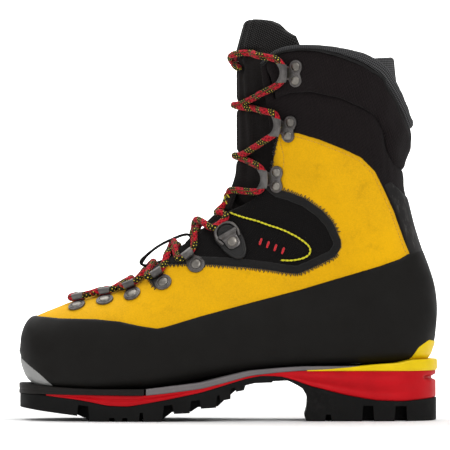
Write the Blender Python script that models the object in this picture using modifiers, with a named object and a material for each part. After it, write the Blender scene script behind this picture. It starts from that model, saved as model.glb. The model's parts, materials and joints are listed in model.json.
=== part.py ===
"""Left mountaineering boot, size EU 42, standing on z = 0.

Frame: +Z up, the toe points to -X, the heel to +X, the outer (lateral) side faces -Y.
The origin lies on the ground, under the middle of the sole's length.
The upper is lofted from side-view section lines (front/top point T to bottom/back point B);
every shell of the upper is a region of that one surface, set in or out along its normal.
All lengths in this file are millimetres until they are multiplied by MM.
"""
import math
from collections import namedtuple

import bmesh
import bpy
import numpy as np
from mathutils import Matrix, Vector

# ---------------------------------------------------------------- driving dimensions
MM = 0.001
WELD = 1e-6              # metres within which points of a new mesh are merged
BOOLEAN_WELD = 2e-6      # the same, after a boolean
SIDES = ((-1, "left"), (1, "right"))  # sign of y and label: lateral, medial

# layers: offset of the outer face from the loft surface, thickness
Layer = namedtuple("Layer", "offset thickness")
LEATHER_LAYER = Layer(0.0, 1.8)
PADDED_LAYER = Layer(0.0, 1.8)
RAND_LAYER = Layer(2.1, 1.4)
STIFFENER_LAYER = Layer(-2.6, 0.9)
GUSSET_LAYER = Layer(-2.5, 1.3)
LINER_LAYER = Layer(-4.8, 1.9)
TONGUE_LAYER = Layer(-7.9, 3.4)
BOARD_LAYER = Layer(-0.5, 1.2)
SHANK_LAYER = Layer(-2.3, 1.0)
FOOTBED_LAYER = Layer(-7.5, 3.2)
TONGUE_RISE = 3.3        # how far the middle of the tongue stands forward in the lacing opening
GAP = 0.5                # half the gap between neighbouring panels
LACE_D = 4.2

# places of the axis empties
ANKLE_AXIS = (80.3, 0, 128.9)    # flex axis of the shaft
TONGUE_AXIS = (20.0, 0, 125.0)
INSTEP_LOOP_AXIS = (-30.0, 0, 137.0)
HEEL_TAB_AXIS = (118.0, 0, 223.0)
FOOTBED_AXIS = (-128.0, 0, 41.0)

# section table: T x, T z, B x, B z, y of the lateral side, y of the medial side,
# place of the widest point from T to B, roundness of the front, squareness of the back
SECTIONS = np.array([
    (-152.2, 53.7, -151.5, 47.1, -3.0, 15.0, .60, 2.0, 2.6),
    (-151.1, 62.4, -150.4, 40.5, -12.0, 24.0, .60, 2.0, 2.6),
    (-148.2, 69.4, -147.5, 33.9, -20.5, 31.5, .61, 2.0, 2.7),
    (-143.8, 74.1, -143.1, 29.6, -28.0, 37.5, .62, 2.0, 3.1),
    (-137.2, 77.6, -136.5, 26.6, -34.5, 42.0, .64, 2.0, 4.0),
    (-126.3, 82.1, -124.8, 25.2, -41.0, 46.0, .66, 2.0, 5.0),
    (-113.9, 86.9, -111.0, 24.1, -46.0, 48.5, .66, 1.95, 5.5),
    (-97.1, 91.6, -94.2, 23.7, -50.0, 50.0, .66, 1.9, 6.0),
    (-80.3, 96.7, -76.7, 24.1, -51.2, 51.2, .66, 1.8, 6.0),
    (-64.2, 106.2, -58.4, 25.2, -51.8, 50.5, .67, 1.65, 6.0),
    (-51.1, 117.2, -38.0, 28.8, -51.0, 47.0, .68, 1.5, 6.0),
    (-40.9, 128.1, -16.1, 32.9, -49.0, 44.0, .70, 1.4, 6.0),
    (-31.4, 139.1, 8.8, 37.2, -46.0, 41.0, .72, 1.35, 6.0),
    (-22.6, 149.3, 38.0, 40.9, -43.5, 39.5, .74, 1.3, 6.0),
    (-15.3, 158.0, 68.6, 42.7, -41.5, 39.0, .76, 1.3, 6.0),
    (-9.9, 166.1, 97.8, 43.4, -40.0, 39.0, .77, 1.3, 5.5),
    (-5.8, 174.1, 124.1, 44.2, -39.5, 39.0, .76, 1.3, 4.5),
    (-2.9, 182.1, 143.8, 46.7, -39.5, 39.0, .73, 1.3, 3.2),
    (-1.1, 190.5, 150.0, 55.8, -39.5, 39.5, .69, 1.3, 2.6),
    (0.0, 198.9, 152.2, 69.0, -39.5, 39.5, .65, 1.3, 2.3),
    (0.4, 207.7, 152.9, 83.6, -39.5, 39.5, .61, 1.3, 2.3),
    (0.4, 216.4, 151.1, 98.2, -39.5, 39.5, .58, 1.3, 2.3),
    (0.4, 225.2, 147.1, 111.3, -40.0, 40.0, .55, 1.3, 2.3),
    (0.4, 234.0, 141.6, 125.9, -40.5, 40.5, .53, 1.3, 2.3),
    (0.4, 242.7, 136.5, 142.0, -41.0, 41.0, .52, 1.3, 2.3),
    (0.4, 251.5, 132.5, 158.0, -42.0, 42.0, .52, 1.3, 2.3),
    (0.4, 260.2, 128.5, 174.1, -43.5, 43.5, .52, 1.3, 2.3),
    (0.4, 269.0, 129.6, 187.2, -45.5, 45.5, .52, 1.3, 2.3),
    (0.7, 277.8, 133.2, 201.8, -47.5, 47.5, .52, 1.3, 2.3),
    (1.1, 286.5, 134.7, 216.4, -48.5, 48.5, .52, 1.3, 2.3),
    (1.5, 295.3, 134.3, 232.5, -48.5, 48.5, .52, 1.3, 2.3),
    (1.8, 304.0, 134.0, 247.1, -48.5, 48.5, .52, 1.3, 2.3),
])
# section numbers of the mesh rows, and mesh steps along half a section
ROWS = np.concatenate([[0, .45, 1, 1.6, 2.3, 3.1], np.arange(4, 15.01, 1.0),
                       [16, 16.6, 17.2, 17.8, 18.4], np.arange(19, 31.01, 1.0)])
AROUND = 11
# the fine copy of the loft, on which nearest points are looked up
FINE_ROWS = np.linspace(3, 31, 281)
FINE_AROUND = 90

# side-view lines on the upper: x, z
RAND_TOP = [
    (-165, 77.6), (-144.5, 77.5), (-135, 77.4), (-122.6, 76.7), (-97.1, 76.3), (-78.8, 73.4),
    (-64.2, 69.7), (-51.8, 67.9), (-46, 69), (-20.4, 76.7), (16.1, 86.5), (52.6, 96),
    (81.8, 104.8), (111, 113.5), (125.6, 118.6), (131.4, 122), (140.2, 124.5), (165, 126)]
FEATHER = [
    (-165, 39.5), (-151.0, 39.5), (-147.5, 33.9), (-143.1, 29.6), (-136.5, 26.6), (-124.8, 25.2),
    (-111, 24.1), (-94.2, 23.7), (-76.7, 24.1), (-58.4, 25.2), (-38, 28.8), (-16.1, 32.9),
    (8.8, 37.2), (38, 40.9), (68.6, 42.7), (97.8, 43.4), (124.1, 43.6), (165, 43.8)]
TOE_EDGE = [(-165, 54), (-152.5, 45.5), (-149.5, 42.5), (-137, 33.0), (-124.5, 23.0), (-120, 10)]
HEEL_EDGE = [(125.0, 30), (128.5, 43.6), (134.5, 49.5), (140.0, 56.5), (147.5, 60.5),
             (152.0, 60.0), (165, 60)]
VAMP_TOP = [
    (-165, 400), (-56, 400), (-50, 115.5), (-46, 116.8), (-24.1, 117.2), (-5.8, 116.4),
    (12.4, 115), (30.7, 112.8), (45.3, 110.6), (51.1, 110.2), (63.5, 115.7), (76.7, 122.3),
    (80.3, 127.0), (89, 125.4), (130.7, 122.8), (165, 121)]
FLEX_TOP = [(80.3, 129.6), (78.8, 134.7), (74.5, 144.2), (67.2, 152.2), (56.2, 160.2),
            (45.3, 164.6), (36.5, 166.8), (29.2, 172.6), (19, 177.5), (-10, 184.0)]
QUARTER_TOP = [(35.8, 210.6), (50.4, 211.3), (67.2, 206.2), (85.4, 198.9), (97.8, 193.1),
               (108, 182.9), (114.6, 169.7), (121.9, 153.7), (127.8, 136.9), (131.0, 128.5)]
QUARTER_FRONT = [(29.2, 172.6), (29.2, 182.9), (32.9, 198.9), (35.8, 210.6)]
CUFF_SEAM = [(32.1, 235.0), (45.3, 241.3), (59.9, 242), (81.8, 237.6), (100, 229.6), (108, 224.5),
             (113.9, 213.5), (116.8, 198.9), (121.9, 188), (128.5, 182.9), (165, 181)]
COLLAR_TOP = [
    (-20, 245), (8.8, 254), (19.7, 260.3), (24.8, 264.6), (29.2, 268.3), (34.3, 271.9),
    (41.6, 274.5), (52.6, 275.6), (67.2, 275.2), (81.8, 272.7), (100, 267.5), (114.6, 258.8),
    (124.1, 244.2), (131.4, 229.6), (134.5, 220.5), (165, 214)]
FOOT_LINING_TOP = [(-165, 400), (-60, 400), (-45, 112), (0, 119), (45, 121.5), (80.3, 127.4),
                   (89, 125.6), (130.7, 121.5), (165, 119)]
SHAFT_LINING_LOW = [(-40, 200), (0, 176), (20, 165), (45, 153), (70, 137), (80.3, 130),
                    (95, 130.3), (131, 128.6), (165, 128)]
TONGUE_TOP = [(-20, 297), (7, 298), (12, 299.5), (24.8, 298), (32.1, 292.7), (43.8, 287),
              (50, 279), (60, 262), (80, 240)]

# closed side-view outlines of panels: x, z
QUARTER_OUTLINE = FLEX_TOP[:7] + QUARTER_FRONT + QUARTER_TOP[1:] + [(131.0, 127.5), (95, 129.8)]
FLEX_OUTLINE = [(-48, 117.0)] + VAMP_TOP[3:13] + FLEX_TOP + [(-60, 184), (-60, 117)]
EYESTAY_OUTLINE = [
    (-10, 184.9), (19, 178.4), (28.6, 173.6), (28.6, 182.9), (32.2, 198.9), (35.0, 211),
    (34, 222), (31.5, 235), (28, 250), (24.8, 264.0), (19.7, 259.8), (8.8, 253.4), (-20, 245)]
CUFF_OUTLINE = ([(35.8, 211.3)] + [(x, z + .3) for x, z in QUARTER_TOP[1:]]
                + [(132, 127.8), (180, 127), (180, 181)] + CUFF_SEAM[::-1][1:] + [(34.5, 222)])
COLLAR_OUTLINE = ([(24.8, 264.6), (28.6, 250), (32.1, 235.8)] + CUFF_SEAM[1:]
                  + [(180, 181), (180, 213)] + COLLAR_TOP[::-1][1:-4])

# half widths across the front: section number, half width
THROAT_HALF = [(0, -30), (6.4, -6), (6.8, 6), (8, 11), (10, 16), (12, 19), (15, 21), (18, 24),
               (22, 28), (31, 31)]
TONGUE_HALF = [(5, 15), (8, 20), (12, 27), (18, 34), (24, 37), (31, 40)]

# fasteners on one side: rivet x, z, and the side-view direction to the throat
LOOPS = [(-110.0, 86.5, .34, .94), (-90.9, 88.7, .0, 1.0), (-70.2, 92.1, -.3, .95),
         (-47.6, 101.4, -.6, .8), (-23.4, 114.4, -.68, .73)]
HOOKS = [(35.6, 176.85, -1.0, .05), (45.6, 214.0, -.97, .24), (50.0, 254.3, -1.0, .06)]
LOCK = (2.1, 132.4, -.55, .83)
TOP_LOOP_MIDDLE = 1.0          # the first loops are placed from above, either side of this y
TOP_LOOP_SPREAD = (20.5, 24.5)
LOOP_LIFT, HOOK_LIFT, LOCK_LIFT = .35, .6, .5

# sole outline in plan: x, y of the lateral edge, y of the medial edge
SOLE_PLAN = np.array([
    (-152.5, 4.0, 10.0), (-151.0, -8.0, 22.0), (-146.0, -21.0, 32.5), (-138.0, -31.0, 40.0),
    (-125.0, -39.5, 46.0), (-105.0, -47.0, 50.5), (-85.0, -51.5, 52.8), (-65.0, -53.7, 53.7),
    (-45.0, -54.0, 52.0), (-20.0, -52.5, 46.5), (5.0, -48.0, 41.5), (30.0, -43.5, 38.5),
    (60.0, -40.5, 37.8), (90.0, -39.8, 39.0), (115.0, -39.5, 39.5), (130.0, -36.5, 36.5),
    (142.0, -29.0, 29.0), (149.5, -18.0, 18.0), (152.5, -5.0, 5.0),
])
SOLE_PLAN_STEPS = 30

# side-view lines between the layers of the sole: x, z
SOLE_TOP = [
    (-165, 28.2), (-150, 28.2), (-140, 26.9), (-124.8, 25.0), (-111, 23.9), (-94.2, 23.5),
    (-76.7, 23.9), (-58.4, 25.0), (-38, 28.6), (-16.1, 32.7), (8.8, 37.0), (38, 40.7),
    (68.6, 42.5), (97.8, 43.1), (124.1, 43.4), (165, 43.4)]
RED_TOP = [(-165, 19.9), (-128, 19.9), (-60, 19.4), (-27.7, 23.7), (12.4, 34.0), (52.6, 37.2),
           (80, 37.4), (165, 37.4)]
RED_LOW = [
    (-165, 19.3), (-133, 19.3), (-110, 17.0), (-93.4, 14.4), (-71.5, 12.2), (-49.6, 14.1),
    (-20.4, 20.9), (8.8, 28.3), (24.8, 33.0), (41.6, 33.2), (56.2, 29.6), (81.8, 22.4),
    (103.7, 17.0), (125.6, 15.0), (152.6, 18.5), (165, 18.5)]
BAND_LOW = [(-165, 20.5), (-60, 20.5), (-27.7, 24.2), (12.4, 34.4), (52.6, 37.8), (75, 40.0),
            (114, 41.4), (165, 41.4)]
HEEL_WELT_TOP = [(60, 38.6), (75, 39.4), (113.6, 40.8), (114.8, 43.0), (165, 43.2)]
WELT_GAP = .3            # left above and below the welts
# slot into the back end of the midsole: x, z
HEEL_SLOT = [(144, 31.8), (149.5, 33.6), (160, 33.8), (160, 30.0), (149.5, 30.0)]
# outsole: upper line from toe to heel, then the underside with its cross grooves, heel to toe
OUTSOLE_TOP = [
    (-165, 18.9), (-133, 18.9), (-110, 16.6), (-93.4, 14.0), (-71.5, 11.8), (-49.6, 13.7),
    (-20.4, 20.5), (8.8, 27.9), (24.8, 32.6), (41.6, 32.8), (56.2, 29.2), (81.8, 22.0),
    (103.7, 16.6), (125.6, 14.6), (152.6, 18.1), (160, 18.1)]
OUTSOLE_LUGS = [
    (160, 1.2), (148, 0), (131, 0), (131, 11.2), (122, 11.2), (120, 0), (106.5, 0), (106, 11.4),
    (98.6, 11.4), (96, 0), (61.3, 0), (56.2, 3.8), (58.4, 19.5), (55, 25.8), (45, 30.0),
    (36, 30.2), (25, 28.4), (14, 24.9), (11, 22.6), (1.5, 22.6), (0.5, 19.6), (-7.5, 17.6),
    (-9.0, 12.6), (-20, 11.2), (-23.4, 16.0), (-28.5, 15.2), (-29.2, 8.6), (-39, 7.4),
    (-41.5, 12.8), (-46.5, 12.0), (-47.4, 2.6), (-60.5, 1.6), (-61.8, 9.5), (-66.5, 9.3),
    (-67.2, 0), (-100.5, 0), (-102, 11.8), (-109, 13.0), (-110.2, 6.6), (-145, 9.4),
    (-160, 10.6)]
# lengthwise grooves of the outsole: height of the groove's roof, plan outline x, y
LONG_GROOVES = [
    (8.2, [(-96, -9), (-72, -10), (-30, -9), (-30, -3), (-72, -4), (-96, -3)]),
    (8.2, [(-96, 17), (-72, 16), (-46, 15), (-46, 21), (-72, 22), (-96, 23)]),
    (7.5, [(70, -12), (118, -12), (118, -4.5), (70, -4.5)]),
    (7.5, [(70, 4.5), (118, 4.5), (118, 12), (70, 12)]),
]


# ---------------------------------------------------------------- scene helpers
for old in list(bpy.data.objects):
    bpy.data.objects.remove(old, do_unlink=True)
PARTS = bpy.data.collections.new("mountaineering_boot")
HELPERS = bpy.data.collections.new("cutters")
bpy.context.scene.collection.children.link(PARTS)
bpy.context.scene.collection.children.link(HELPERS)


def material(name, colour, roughness, metallic=0.0):
    mat = bpy.data.materials.new(name)
    mat.use_nodes = True
    shader = mat.node_tree.nodes["Principled BSDF"]
    shader.inputs["Base Color"].default_value = (*colour, 1.0)
    shader.inputs["Roughness"].default_value = roughness
    shader.inputs["Metallic"].default_value = metallic
    mat.diffuse_color = (*colour, 1.0)
    return mat


BLACK_RUBBER = material("black_rubber", colour=(.012, .012, .012), roughness=.75)
RAND_RUBBER = material("rand_rubber", colour=(.018, .018, .018), roughness=.6)
RED_MIDSOLE = material("red_midsole", colour=(.62, .01, .015), roughness=.5)
GREY_BAND = material("grey_band", colour=(.19, .2, .22), roughness=.5)
YELLOW_PLASTIC = material("yellow_plastic", colour=(.85, .65, .0), roughness=.45)
LIGHT_GREY = material("light_grey_insert", colour=(.42, .44, .46), roughness=.5)
YELLOW_LEATHER = material("yellow_leather", colour=(.72, .42, .01), roughness=.85)
BLACK_FABRIC = material("black_fabric", colour=(.015, .014, .015), roughness=.9)
GREY_KNIT = material("grey_knit", colour=(.035, .037, .04), roughness=.9)
LINING_CLOTH = material("lining", colour=(.05, .05, .05), roughness=.95)
STIFF_BOARD = material("board", colour=(.3, .26, .2), roughness=.8)
GUNMETAL = material("gunmetal", colour=(.22, .21, .2), roughness=.4, metallic=1.0)
BLACK_PLASTIC = material("black_plastic", colour=(.03, .03, .032), roughness=.5)
RED_LACE = material("lace_red", colour=(.4, .02, .02), roughness=.8)
BLACK_CORD = material("black_cord", colour=(.01, .01, .01), roughness=.8)


def add(name, mesh, mat, parent=None):
    mesh.name = name
    obj = bpy.data.objects.new(name, mesh)
    PARTS.objects.link(obj)
    mesh.materials.clear()
    mesh.materials.append(mat)
    if parent is not None:
        obj.parent = parent
        obj.matrix_parent_inverse = parent.matrix_world.inverted()
    return obj


def helper(name, mesh):
    obj = bpy.data.objects.new(name, mesh)
    HELPERS.objects.link(obj)
    obj.hide_render = True
    obj.display_type = "WIRE"
    return obj


def axis_empty(name, place):
    empty = bpy.data.objects.new(name, None)
    HELPERS.objects.link(empty)
    empty.location = [value * MM for value in place]
    bpy.context.view_layer.update()
    return empty


# ---------------------------------------------------------------- mesh helpers
def weld(mesh, distance=WELD, dissolve=True, orient=True):
    """Merges close points, then drops degenerate faces and turns the normals outward."""
    work = bmesh.new()
    work.from_mesh(mesh)
    bmesh.ops.remove_doubles(work, verts=work.verts, dist=distance)
    if dissolve:
        bmesh.ops.dissolve_degenerate(work, dist=distance, edges=work.edges)
    if orient:
        bmesh.ops.recalc_face_normals(work, faces=work.faces)
    work.to_mesh(mesh)
    work.free()
    return mesh


def mesh_from(verts, faces):
    mesh = bpy.data.meshes.new("m")
    points = [tuple(v) for v in np.asarray(verts, float) * MM]
    mesh.from_pydata(points, [], [tuple(int(i) for i in face) for face in faces])
    mesh.validate()
    return weld(mesh, orient=False)


def evaluated_mesh(obj):
    bpy.context.view_layer.update()
    graph = bpy.context.evaluated_depsgraph_get()
    mesh = bpy.data.meshes.new_from_object(obj.evaluated_get(graph), depsgraph=graph)
    mesh.transform(obj.matrix_world)
    return mesh


def curve_mesh(curve, points, cyclic):
    """The mesh of a curve through the points, its caps welded; the curve object is removed."""
    line = curve.splines.new("POLY")
    line.points.add(len(points) - 1)
    for target, (x, y, z) in zip(line.points, points):
        target.co = (x * MM, y * MM, z * MM, 1)
    line.use_cyclic_u = cyclic
    obj = bpy.data.objects.new("curve_tmp", curve)
    HELPERS.objects.link(obj)
    mesh = evaluated_mesh(obj)
    bpy.data.objects.remove(obj, do_unlink=True)
    return weld(mesh, dissolve=False)


def prism(outline, z0, z1):
    """A flat outline (x, y) extruded from z0 to z1."""
    curve = bpy.data.curves.new("outline", "CURVE")
    curve.dimensions = "2D"
    curve.fill_mode = "BOTH"
    curve.extrude = abs(z1 - z0) / 2 * MM
    mesh = curve_mesh(curve, [(x, y, 0) for x, y in outline], cyclic=True)
    mesh.transform(Matrix.Translation((0, 0, (z0 + z1) / 2 * MM)))
    return mesh


def side_prism(profile, half_width):
    """A side-view profile (x, z) extruded across the middle plane."""
    return moved(prism(profile, -half_width, half_width), Matrix.Rotation(math.pi / 2, 4, "X"))


def tube(points, radius):
    curve = bpy.data.curves.new("tube", "CURVE")
    curve.dimensions = "3D"
    curve.bevel_depth = radius * MM
    curve.bevel_resolution = 1
    curve.use_fill_caps = True
    return curve_mesh(curve, points, cyclic=False)


def cylinder(radius, z0, z1, segments, top_radius=None):
    top_radius = radius if top_radius is None else top_radius
    work = bmesh.new()
    bmesh.ops.create_cone(work, cap_ends=True, segments=segments, radius1=radius * MM,
                          radius2=top_radius * MM, depth=(z1 - z0) * MM)
    bmesh.ops.translate(work, verts=work.verts, vec=(0, 0, (z0 + z1) / 2 * MM))
    mesh = bpy.data.meshes.new("cyl")
    work.to_mesh(mesh)
    work.free()
    return mesh


def band_mesh(rings):
    """A closed bar through rings of four corners each."""
    verts = [corner for ring in rings for corner in ring]
    faces = []
    for i in range(len(rings) - 1):
        for k in range(4):
            j = (k + 1) % 4
            faces.append((4 * i + k, 4 * i + j, 4 * i + 4 + j, 4 * i + 4 + k))
    faces += [(3, 2, 1, 0), tuple(4 * (len(rings) - 1) + k for k in range(4))]
    return weld(mesh_from(verts, faces), BOOLEAN_WELD)


def moved(mesh, matrix):
    copy = mesh.copy()
    copy.transform(matrix)
    return copy


def combine(base, others, operation):
    """base with each of others united, cut or intersected, as a new mesh."""
    obj = helper("base_tmp", base)
    tools = []
    for i, other in enumerate(others):
        tool = helper("tool_tmp%d" % i, other)
        tools.append(tool)
        modifier = obj.modifiers.new("b%d" % i, "BOOLEAN")
        modifier.operation = operation
        modifier.object = tool
    mesh = evaluated_mesh(obj)
    for temporary in [obj] + tools:
        bpy.data.objects.remove(temporary, do_unlink=True)
    return weld(mesh, BOOLEAN_WELD)


def joined(meshes):
    work = bmesh.new()
    for mesh in meshes:
        work.from_mesh(mesh)
    out = bpy.data.meshes.new("joined")
    work.to_mesh(out)
    work.free()
    return out


# ---------------------------------------------------------------- the loft surface of the upper
Sheet = namedtuple("Sheet", "points normals sections faces")


def lookup(line, x):
    """The second column of a line, interpolated at x in its first."""
    return np.interp(x, *np.array(line, float).T)


def spline(table, places):
    """Rows of a table at fractional row numbers, along a Catmull-Rom spline."""
    table = np.asarray(table, float)
    last = len(table) - 1
    places = np.clip(np.atleast_1d(np.asarray(places, float)), 0, last - 1e-9)
    i = np.floor(places).astype(int)
    f = (places - i)[:, None]
    a, b, c, d = (table[np.clip(i + k, 0, last)] for k in (-1, 0, 1, 2))
    return .5 * (2 * b + (c - a) * f + (2 * a - 5 * b + 4 * c - d) * f ** 2
                 + (3 * b - a - 3 * c + d) * f ** 3)


def half_section(row, steps):
    """Evenly spaced points along one side of a section: share from T to B, share of half width."""
    top_x, top_z, low_x, low_z, lateral, medial, widest, roundness, squareness = row
    length = math.hypot(low_x - top_x, low_z - top_z)
    width = (medial - lateral) / 2
    angle = np.linspace(0, math.pi, 240)
    front = angle <= math.pi / 2
    cosine = np.cos(angle)
    ahead = np.clip(cosine, 0, 1)
    behind_widest = np.abs(np.clip(cosine, -1, 0)) ** (2 / squareness)
    share = np.where(front, widest * (1 - ahead), widest + (1 - widest) * behind_widest)
    spread = np.where(front, np.sqrt(np.clip(1 - ahead ** roundness, 0, 1)),
                      np.clip(np.sin(angle), 0, 1) ** (2 / squareness))
    step = np.hypot(np.diff(share) * length, np.diff(spread) * width)
    run = np.concatenate([[0], np.cumsum(step)])
    want = np.linspace(0, run[-1], steps + 1)
    return np.interp(want, run, share), np.interp(want, run, spread)


def loft(section_numbers, steps):
    """Grids of points and outward normals. Columns run from T down the lateral side to B and
    back up the medial side."""
    rows = spline(SECTIONS, section_numbers)
    grid = np.zeros((len(section_numbers), 2 * steps, 3))
    for i, row in enumerate(rows):
        share, spread = half_section(row, steps)
        top_x, top_z, low_x, low_z, lateral, medial = row[:6]
        middle, width = (lateral + medial) / 2, (medial - lateral) / 2
        x = top_x + (low_x - top_x) * share
        z = top_z + (low_z - top_z) * share
        grid[i, : steps + 1] = np.stack([x, middle - width * spread, z], 1)
        grid[i, steps + 1:] = np.stack([x, middle + width * spread, z], 1)[1:-1][::-1]
    along = np.gradient(grid, axis=0)
    around = np.roll(grid, -1, axis=1) - np.roll(grid, 1, axis=1)
    normal = np.cross(along, around)
    normal /= np.maximum(np.linalg.norm(normal, axis=2, keepdims=True), 1e-9)
    if ((grid - grid.mean(axis=1, keepdims=True)) * normal).sum() < 0:
        normal = -normal
    return grid, normal


def base_sheet():
    """The whole loft as a sheet, closed at the toe and open at the top."""
    grid, normal = loft(ROWS, AROUND)
    rows, columns, _ = grid.shape
    faces = []
    for i in range(rows - 1):
        for j in range(columns):
            k = (j + 1) % columns
            a, b = i * columns + j, i * columns + k
            c, d = (i + 1) * columns + k, (i + 1) * columns + j
            faces += [(a, b, c), (a, c, d)] if j < columns // 2 else [(a, b, d), (b, c, d)]
    tip = grid[0].mean(axis=0) + np.array([-.9, 0, 0])
    points = np.vstack([grid.reshape(-1, 3), tip])
    normals = np.vstack([normal.reshape(-1, 3), [-1, 0, 0]])
    sections = np.append(np.repeat(ROWS, columns), 0)
    for j in range(columns):
        faces.append((len(points) - 1, (j + 1) % columns, j))
    return Sheet(points, normals, sections, faces)


FULL_SHEET = base_sheet()
FINE, FINE_NORMALS = loft(FINE_ROWS, FINE_AROUND)


def facing_out(sheet):
    """The faces of a sheet, each wound so that it faces along the surface normal."""
    out = []
    for face in sheet.faces:
        corners = sheet.points[list(face)]
        area = np.zeros(3)
        for k in range(len(face)):
            area += np.cross(corners[k], corners[(k + 1) % len(face)])
        outward = area @ sheet.normals[list(face)].mean(axis=0) > 0
        out.append(tuple(face) if outward else tuple(face)[::-1])
    return out


def clip(sheet, value):
    """The part of a sheet where value is 0 or more, cut along the line where it is 0."""
    points, normals, sections, faces = sheet
    snap = .5  # points this close to the cutting line count as on it
    value = np.where(np.abs(value) < snap, 0.0, value)
    new_points, new_normals, new_sections, made, out = [], [], [], {}, []

    def crossing(a, b):
        key = (min(a, b), max(a, b))
        if key not in made:
            f = value[a] / (value[a] - value[b])
            made[key] = len(points) + len(new_points)
            new_points.append(points[a] + (points[b] - points[a]) * f)
            normal = normals[a] + (normals[b] - normals[a]) * f
            new_normals.append(normal / max(np.linalg.norm(normal), 1e-9))
            new_sections.append(sections[a] + (sections[b] - sections[a]) * f)
        return made[key]

    for face in faces:
        if all(value[i] <= 0 for i in face):
            continue
        kept = []
        for k, a in enumerate(face):
            b = face[(k + 1) % len(face)]
            if value[a] >= 0:
                kept.append(a)
            if value[a] * value[b] < 0:
                kept.append(crossing(a, b))
        if len(set(kept)) > 2:
            out.append(tuple(kept))
    if new_points:
        points = np.vstack([points, np.array(new_points)])
        normals = np.vstack([normals, np.array(new_normals)])
    sections = np.append(sections, new_sections)
    used = sorted({i for face in out for i in face})
    index = {a: b for b, a in enumerate(used)}
    faces = [tuple(index[i] for i in face) for face in out]
    return Sheet(points[used], normals[used], sections[used], faces)


def region(*tests):
    """The loft clipped by several tests in turn. Each takes a sheet and values its points."""
    sheet = FULL_SHEET
    for test in tests:
        sheet = clip(sheet, test(sheet))
    return sheet


# ---------------------------------------------------------------- tests that bound a region
def below(line, sheet):
    """How far points lie under a side-view line z(x), roughly perpendicular to it."""
    x, z = sheet.points[:, 0], sheet.points[:, 2]
    slope = lookup(line, x + 1) - lookup(line, x - 1)
    return (lookup(line, x) - z) / np.hypot(1, slope / 2)


def under(line, margin):
    return lambda sheet: below(line, sheet) - margin


def over(line, margin):
    return lambda sheet: -below(line, sheet) - margin


def clear_of_sole(margin):
    """Keeps what is at least this far above the feather line, where upper and sole meet."""
    return over(FEATHER, margin)


def behind(limit):
    return lambda sheet: sheet.points[:, 0] - limit


def ahead_of(limit):
    return lambda sheet: limit - sheet.points[:, 0]


def higher_than(limit):
    return lambda sheet: sheet.points[:, 2] - limit


def past_section(limit):
    return lambda sheet: (sheet.sections - limit) * 10


def before_section(limit):
    return lambda sheet: (limit - sheet.sections) * 10


def inside(outline):
    """Signed distance into a side-view outline, positive inside, less the panel gap."""
    outline = np.asarray(outline, float)

    def value(sheet):
        x, z = sheet.points[:, 0], sheet.points[:, 2]
        distance = np.full(len(x), 1e9)
        odd = np.zeros(len(x), bool)
        for a, b in zip(outline, np.roll(outline, -1, axis=0)):
            edge = b - a
            along = (x - a[0]) * edge[0] + (z - a[1]) * edge[1]
            t = np.clip(along / max(edge @ edge, 1e-9), 0, 1)
            distance = np.minimum(distance, np.hypot(x - a[0] - t * edge[0], z - a[1] - t * edge[1]))
            crosses = (a[1] > z) != (b[1] > z)
            rise = edge[1] if abs(edge[1]) > 1e-9 else 1e-9
            odd ^= crosses & (x < a[0] + (z - a[1]) * edge[0] / rise)
        return np.where(odd, distance, -distance) - GAP

    return value


def off_middle(sheet):
    """y of the points, measured from the middle of their sections."""
    middles = (SECTIONS[:, 4] + SECTIONS[:, 5]) / 2
    return sheet.points[:, 1] - np.interp(sheet.sections, np.arange(len(SECTIONS)), middles)


def on_side(sign):
    return lambda sheet: off_middle(sheet) * sign


def share_and_widest(sheet):
    """How far each point lies from T to B on its section, and where that section is widest."""
    top_x, top_z, low_x, low_z, _, _, widest, _, _ = spline(SECTIONS, sheet.sections).T
    span = np.hypot(low_x - top_x, low_z - top_z)
    along_x = (sheet.points[:, 0] - top_x) * (low_x - top_x)
    along_z = (sheet.points[:, 2] - top_z) * (low_z - top_z)
    return (along_x + along_z) / span ** 2, widest


def throat(sheet):
    """How far points lie outside the lacing opening up the middle of the vamp and shaft."""
    share, widest = share_and_widest(sheet)
    away = np.abs(off_middle(sheet)) - lookup(THROAT_HALF, sheet.sections)
    return np.where(share > widest, 40.0, away)


def tongue_width(sheet):
    """How far points lie inside the side edges of the tongue."""
    share, widest = share_and_widest(sheet)
    within = lookup(TONGUE_HALF, sheet.sections) - np.abs(off_middle(sheet))
    return np.where(share > widest * .9, -10, within)


def tongue_rise(sheet):
    """The tongue stands forward in the opening and dips under the edges of the upper."""
    f = np.clip((throat(sheet) + 10.0) / 8.0, 0, 1)
    return TONGUE_RISE * (1 - f * f * (3 - 2 * f))


def sole_face(inset):
    """How far points lie inside the edge of the underside, less an inset."""
    def value(sheet):
        _, _, _, _, lateral, medial, _, _, _ = spline(SECTIONS, sheet.sections).T
        from_middle = np.abs(sheet.points[:, 1] - (lateral + medial) / 2)
        inward = (medial - lateral) / 2 - from_middle - inset
        return np.where(sheet.normals[:, 2] < -.35, inward, -20)
    return value


# ---------------------------------------------------------------- places on the loft
def nearest(points, normals, axis, first, second):
    """(point, normal) of a grid nearest to a place given by x and one other axis."""
    distance = np.hypot(points[..., 0] - first, points[..., axis] - second)
    i, j = np.unravel_index(np.argmin(distance), distance.shape)
    return points[i, j].copy(), normals[i, j].copy()


def side_half(grid, sign):
    """The columns of one side, from T to B."""
    n = FINE_AROUND
    if sign < 0:
        return grid[:, :n + 1]
    return np.concatenate([grid[:, :1], grid[:, n + 1:][:, ::-1], grid[:, n:n + 1]], axis=1)


def on_surface(x, z, sign):
    """(point, normal) of the loft seen from the side at x, z; sign -1 is the lateral side."""
    return nearest(side_half(FINE, sign), side_half(FINE_NORMALS, sign), 2, x, z)


def on_top(x, y):
    """(point, normal) of the upper side of the loft at x, y."""
    points, normals = (np.concatenate([grid[:, :50], grid[:, -49:]], axis=1)
                       for grid in (FINE, FINE_NORMALS))
    return nearest(points, normals, 1, x, y)


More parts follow.
